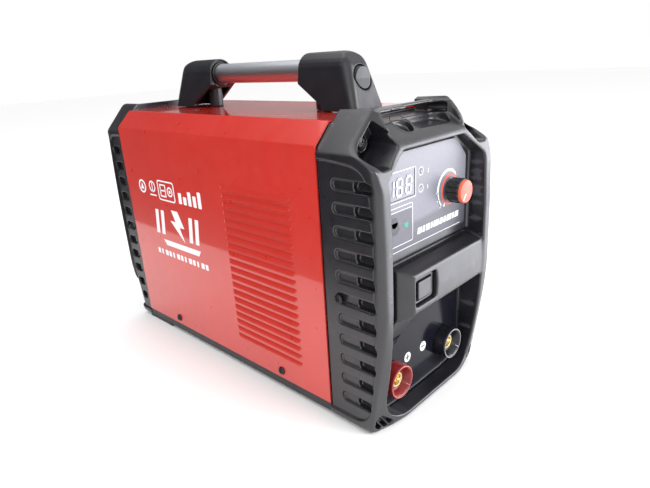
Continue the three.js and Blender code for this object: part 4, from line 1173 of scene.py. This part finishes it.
def softened(name, width, finish, body="housing"):
    """A CAD node's shape with its edges rounded."""
    mesh = nodes[name].data.copy()
    cleaned = bmesh.new()
    cleaned.from_mesh(mesh)
    bmesh.ops.remove_doubles(cleaned, verts=cleaned.verts, dist=1e-6)
    bmesh.ops.dissolve_limit(cleaned, angle_limit=math.radians(1), verts=cleaned.verts,
                             edges=cleaned.edges)
    cleaned.to_mesh(mesh)
    cleaned.free()
    mesh.materials.clear()
    mesh.materials.append(finish)
    piece = linked(f"{name}_soft", mesh)
    bevelled(piece, width)
    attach(piece, body)
    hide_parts(name)
    return piece


softened("power_switch_body", 0.5, SWITCH)
softened("power_rocker", 0.5, ROCKER, body="rocker")
softened("base_tray", 0.4, TRAY)
softened("fan_frame", 0.4, FAN_PLASTIC)
softened("earth_nut", 0.3, PLATED)
softened("gland_nut", 0.3, NYLON)

# ------------------------------------------------------------------ stage, light

floor_mesh = bpy.data.meshes.new("floor")
floor_mesh.from_pydata([(-6, -6, 0), (6, -6, 0), (6, 6, 0), (-6, 6, 0)], [], [(0, 1, 2, 3)])
floor_mesh.materials.append(principled("floor", (0.955, 0.955, 0.955), 0.6)[0])
linked("floor", floor_mesh)


def lamp(name, place, target, size, power):
    data = bpy.data.lights.new(name, "AREA")
    data.shape = "RECTANGLE"
    data.size, data.size_y = size
    data.energy = power
    made = linked(name, data)
    made.location = place
    made.rotation_euler = (Vector(target) - Vector(place)).to_track_quat("-Z", "Y").to_euler()


lamp("key", (0.35, -1.6, 1.1), (0, -0.1, 0.12), (0.9, 0.7), 24)
lamp("left", (-1.6, -0.7, 1.1), (0, 0, 0.1), (0.8, 0.8), 6)
lamp("top", (0.0, 0.5, 1.7), (0, 0.1, 0.1), (1.6, 1.2), 9)


def card(name, corners, color, strength=0.0):
    """A studio card seen only in reflections."""
    mesh = bpy.data.meshes.new(name)
    mesh.from_pydata(corners, [], [(0, 1, 2, 3)])
    material, _, shader = principled(name, color, 0.9)
    shader.inputs["Emission Color"].default_value = (*color, 1)
    shader.inputs["Emission Strength"].default_value = strength
    mesh.materials.append(material)
    made = linked(name, mesh)
    made.visible_camera = False
    made.visible_diffuse = False
    made.visible_shadow = False


card("side_flag", [(-0.275, -0.12, 0), (-0.275, 0.95, 0), (-0.275, 0.95, 0.42),
                   (-0.275, -0.12, 0.42)], (0.012, 0.01, 0.012))
card("back_flag", [(-1.3, 1.1, 0.62), (0.9, 1.1, 0.62), (0.9, 1.1, 1.5), (-1.3, 1.1, 1.5)],
     (0.02, 0.02, 0.025))
card("roof_flag", [(-1.3, 1.1, 0.2), (1.6, 1.1, 0.2), (1.6, 1.1, 0.61), (-1.3, 1.1, 0.61)],
     (0.22, 0.2, 0.2))
card("floor_sheen", [(-0.05, -0.9, 0.001), (0.8, -0.9, 0.001), (0.6, -0.26, 0.001),
                     (0.06, -0.3, 0.001)], (0.93, 0.94, 1), 2.2)
card("front_sheen", [(0.35, -1.1, 0.02), (1.0, -0.35, 0.02), (1.0, -0.35, 0.6),
                     (0.35, -1.1, 0.6)], (0.93, 0.94, 1), 5.0)

world = bpy.data.worlds.new("studio")
world.use_nodes = True
world.node_tree.nodes["Background"].inputs["Color"].default_value = (1, 1, 1, 1)
world.node_tree.nodes["Background"].inputs["Strength"].default_value = 1.0
bpy.context.scene.world = world

# ------------------------------------------------------------------ finishes of the CAD nodes

CAD_FINISH = {
    "top_cover": RED, "control_panel": LABEL, "display_module": GLASS, "thermal_led": LED,
    "power_led": LED, "potentiometer": PLATED, "positive_busbar": BUSBAR,
    "negative_busbar": BUSBAR, "power_board": BOARD, "control_board": BOARD,
    "heatsink_left": FINS, "heatsink_right": FINS, "main_transformer": FERRITE,
    "output_choke": COPPER, "filter_capacitor_front": SLEEVE, "filter_capacitor_rear": SLEEVE,
    "bridge_rectifier": NYLON, "front_tube_plug": HANDLE, "rear_tube_plug": HANDLE,
    "front_handle_screw": SCREW, "rear_handle_screw": SCREW,
}
for name, finish in CAD_FINISH.items():
    for slot in nodes[name].material_slots:
        slot.material = finish
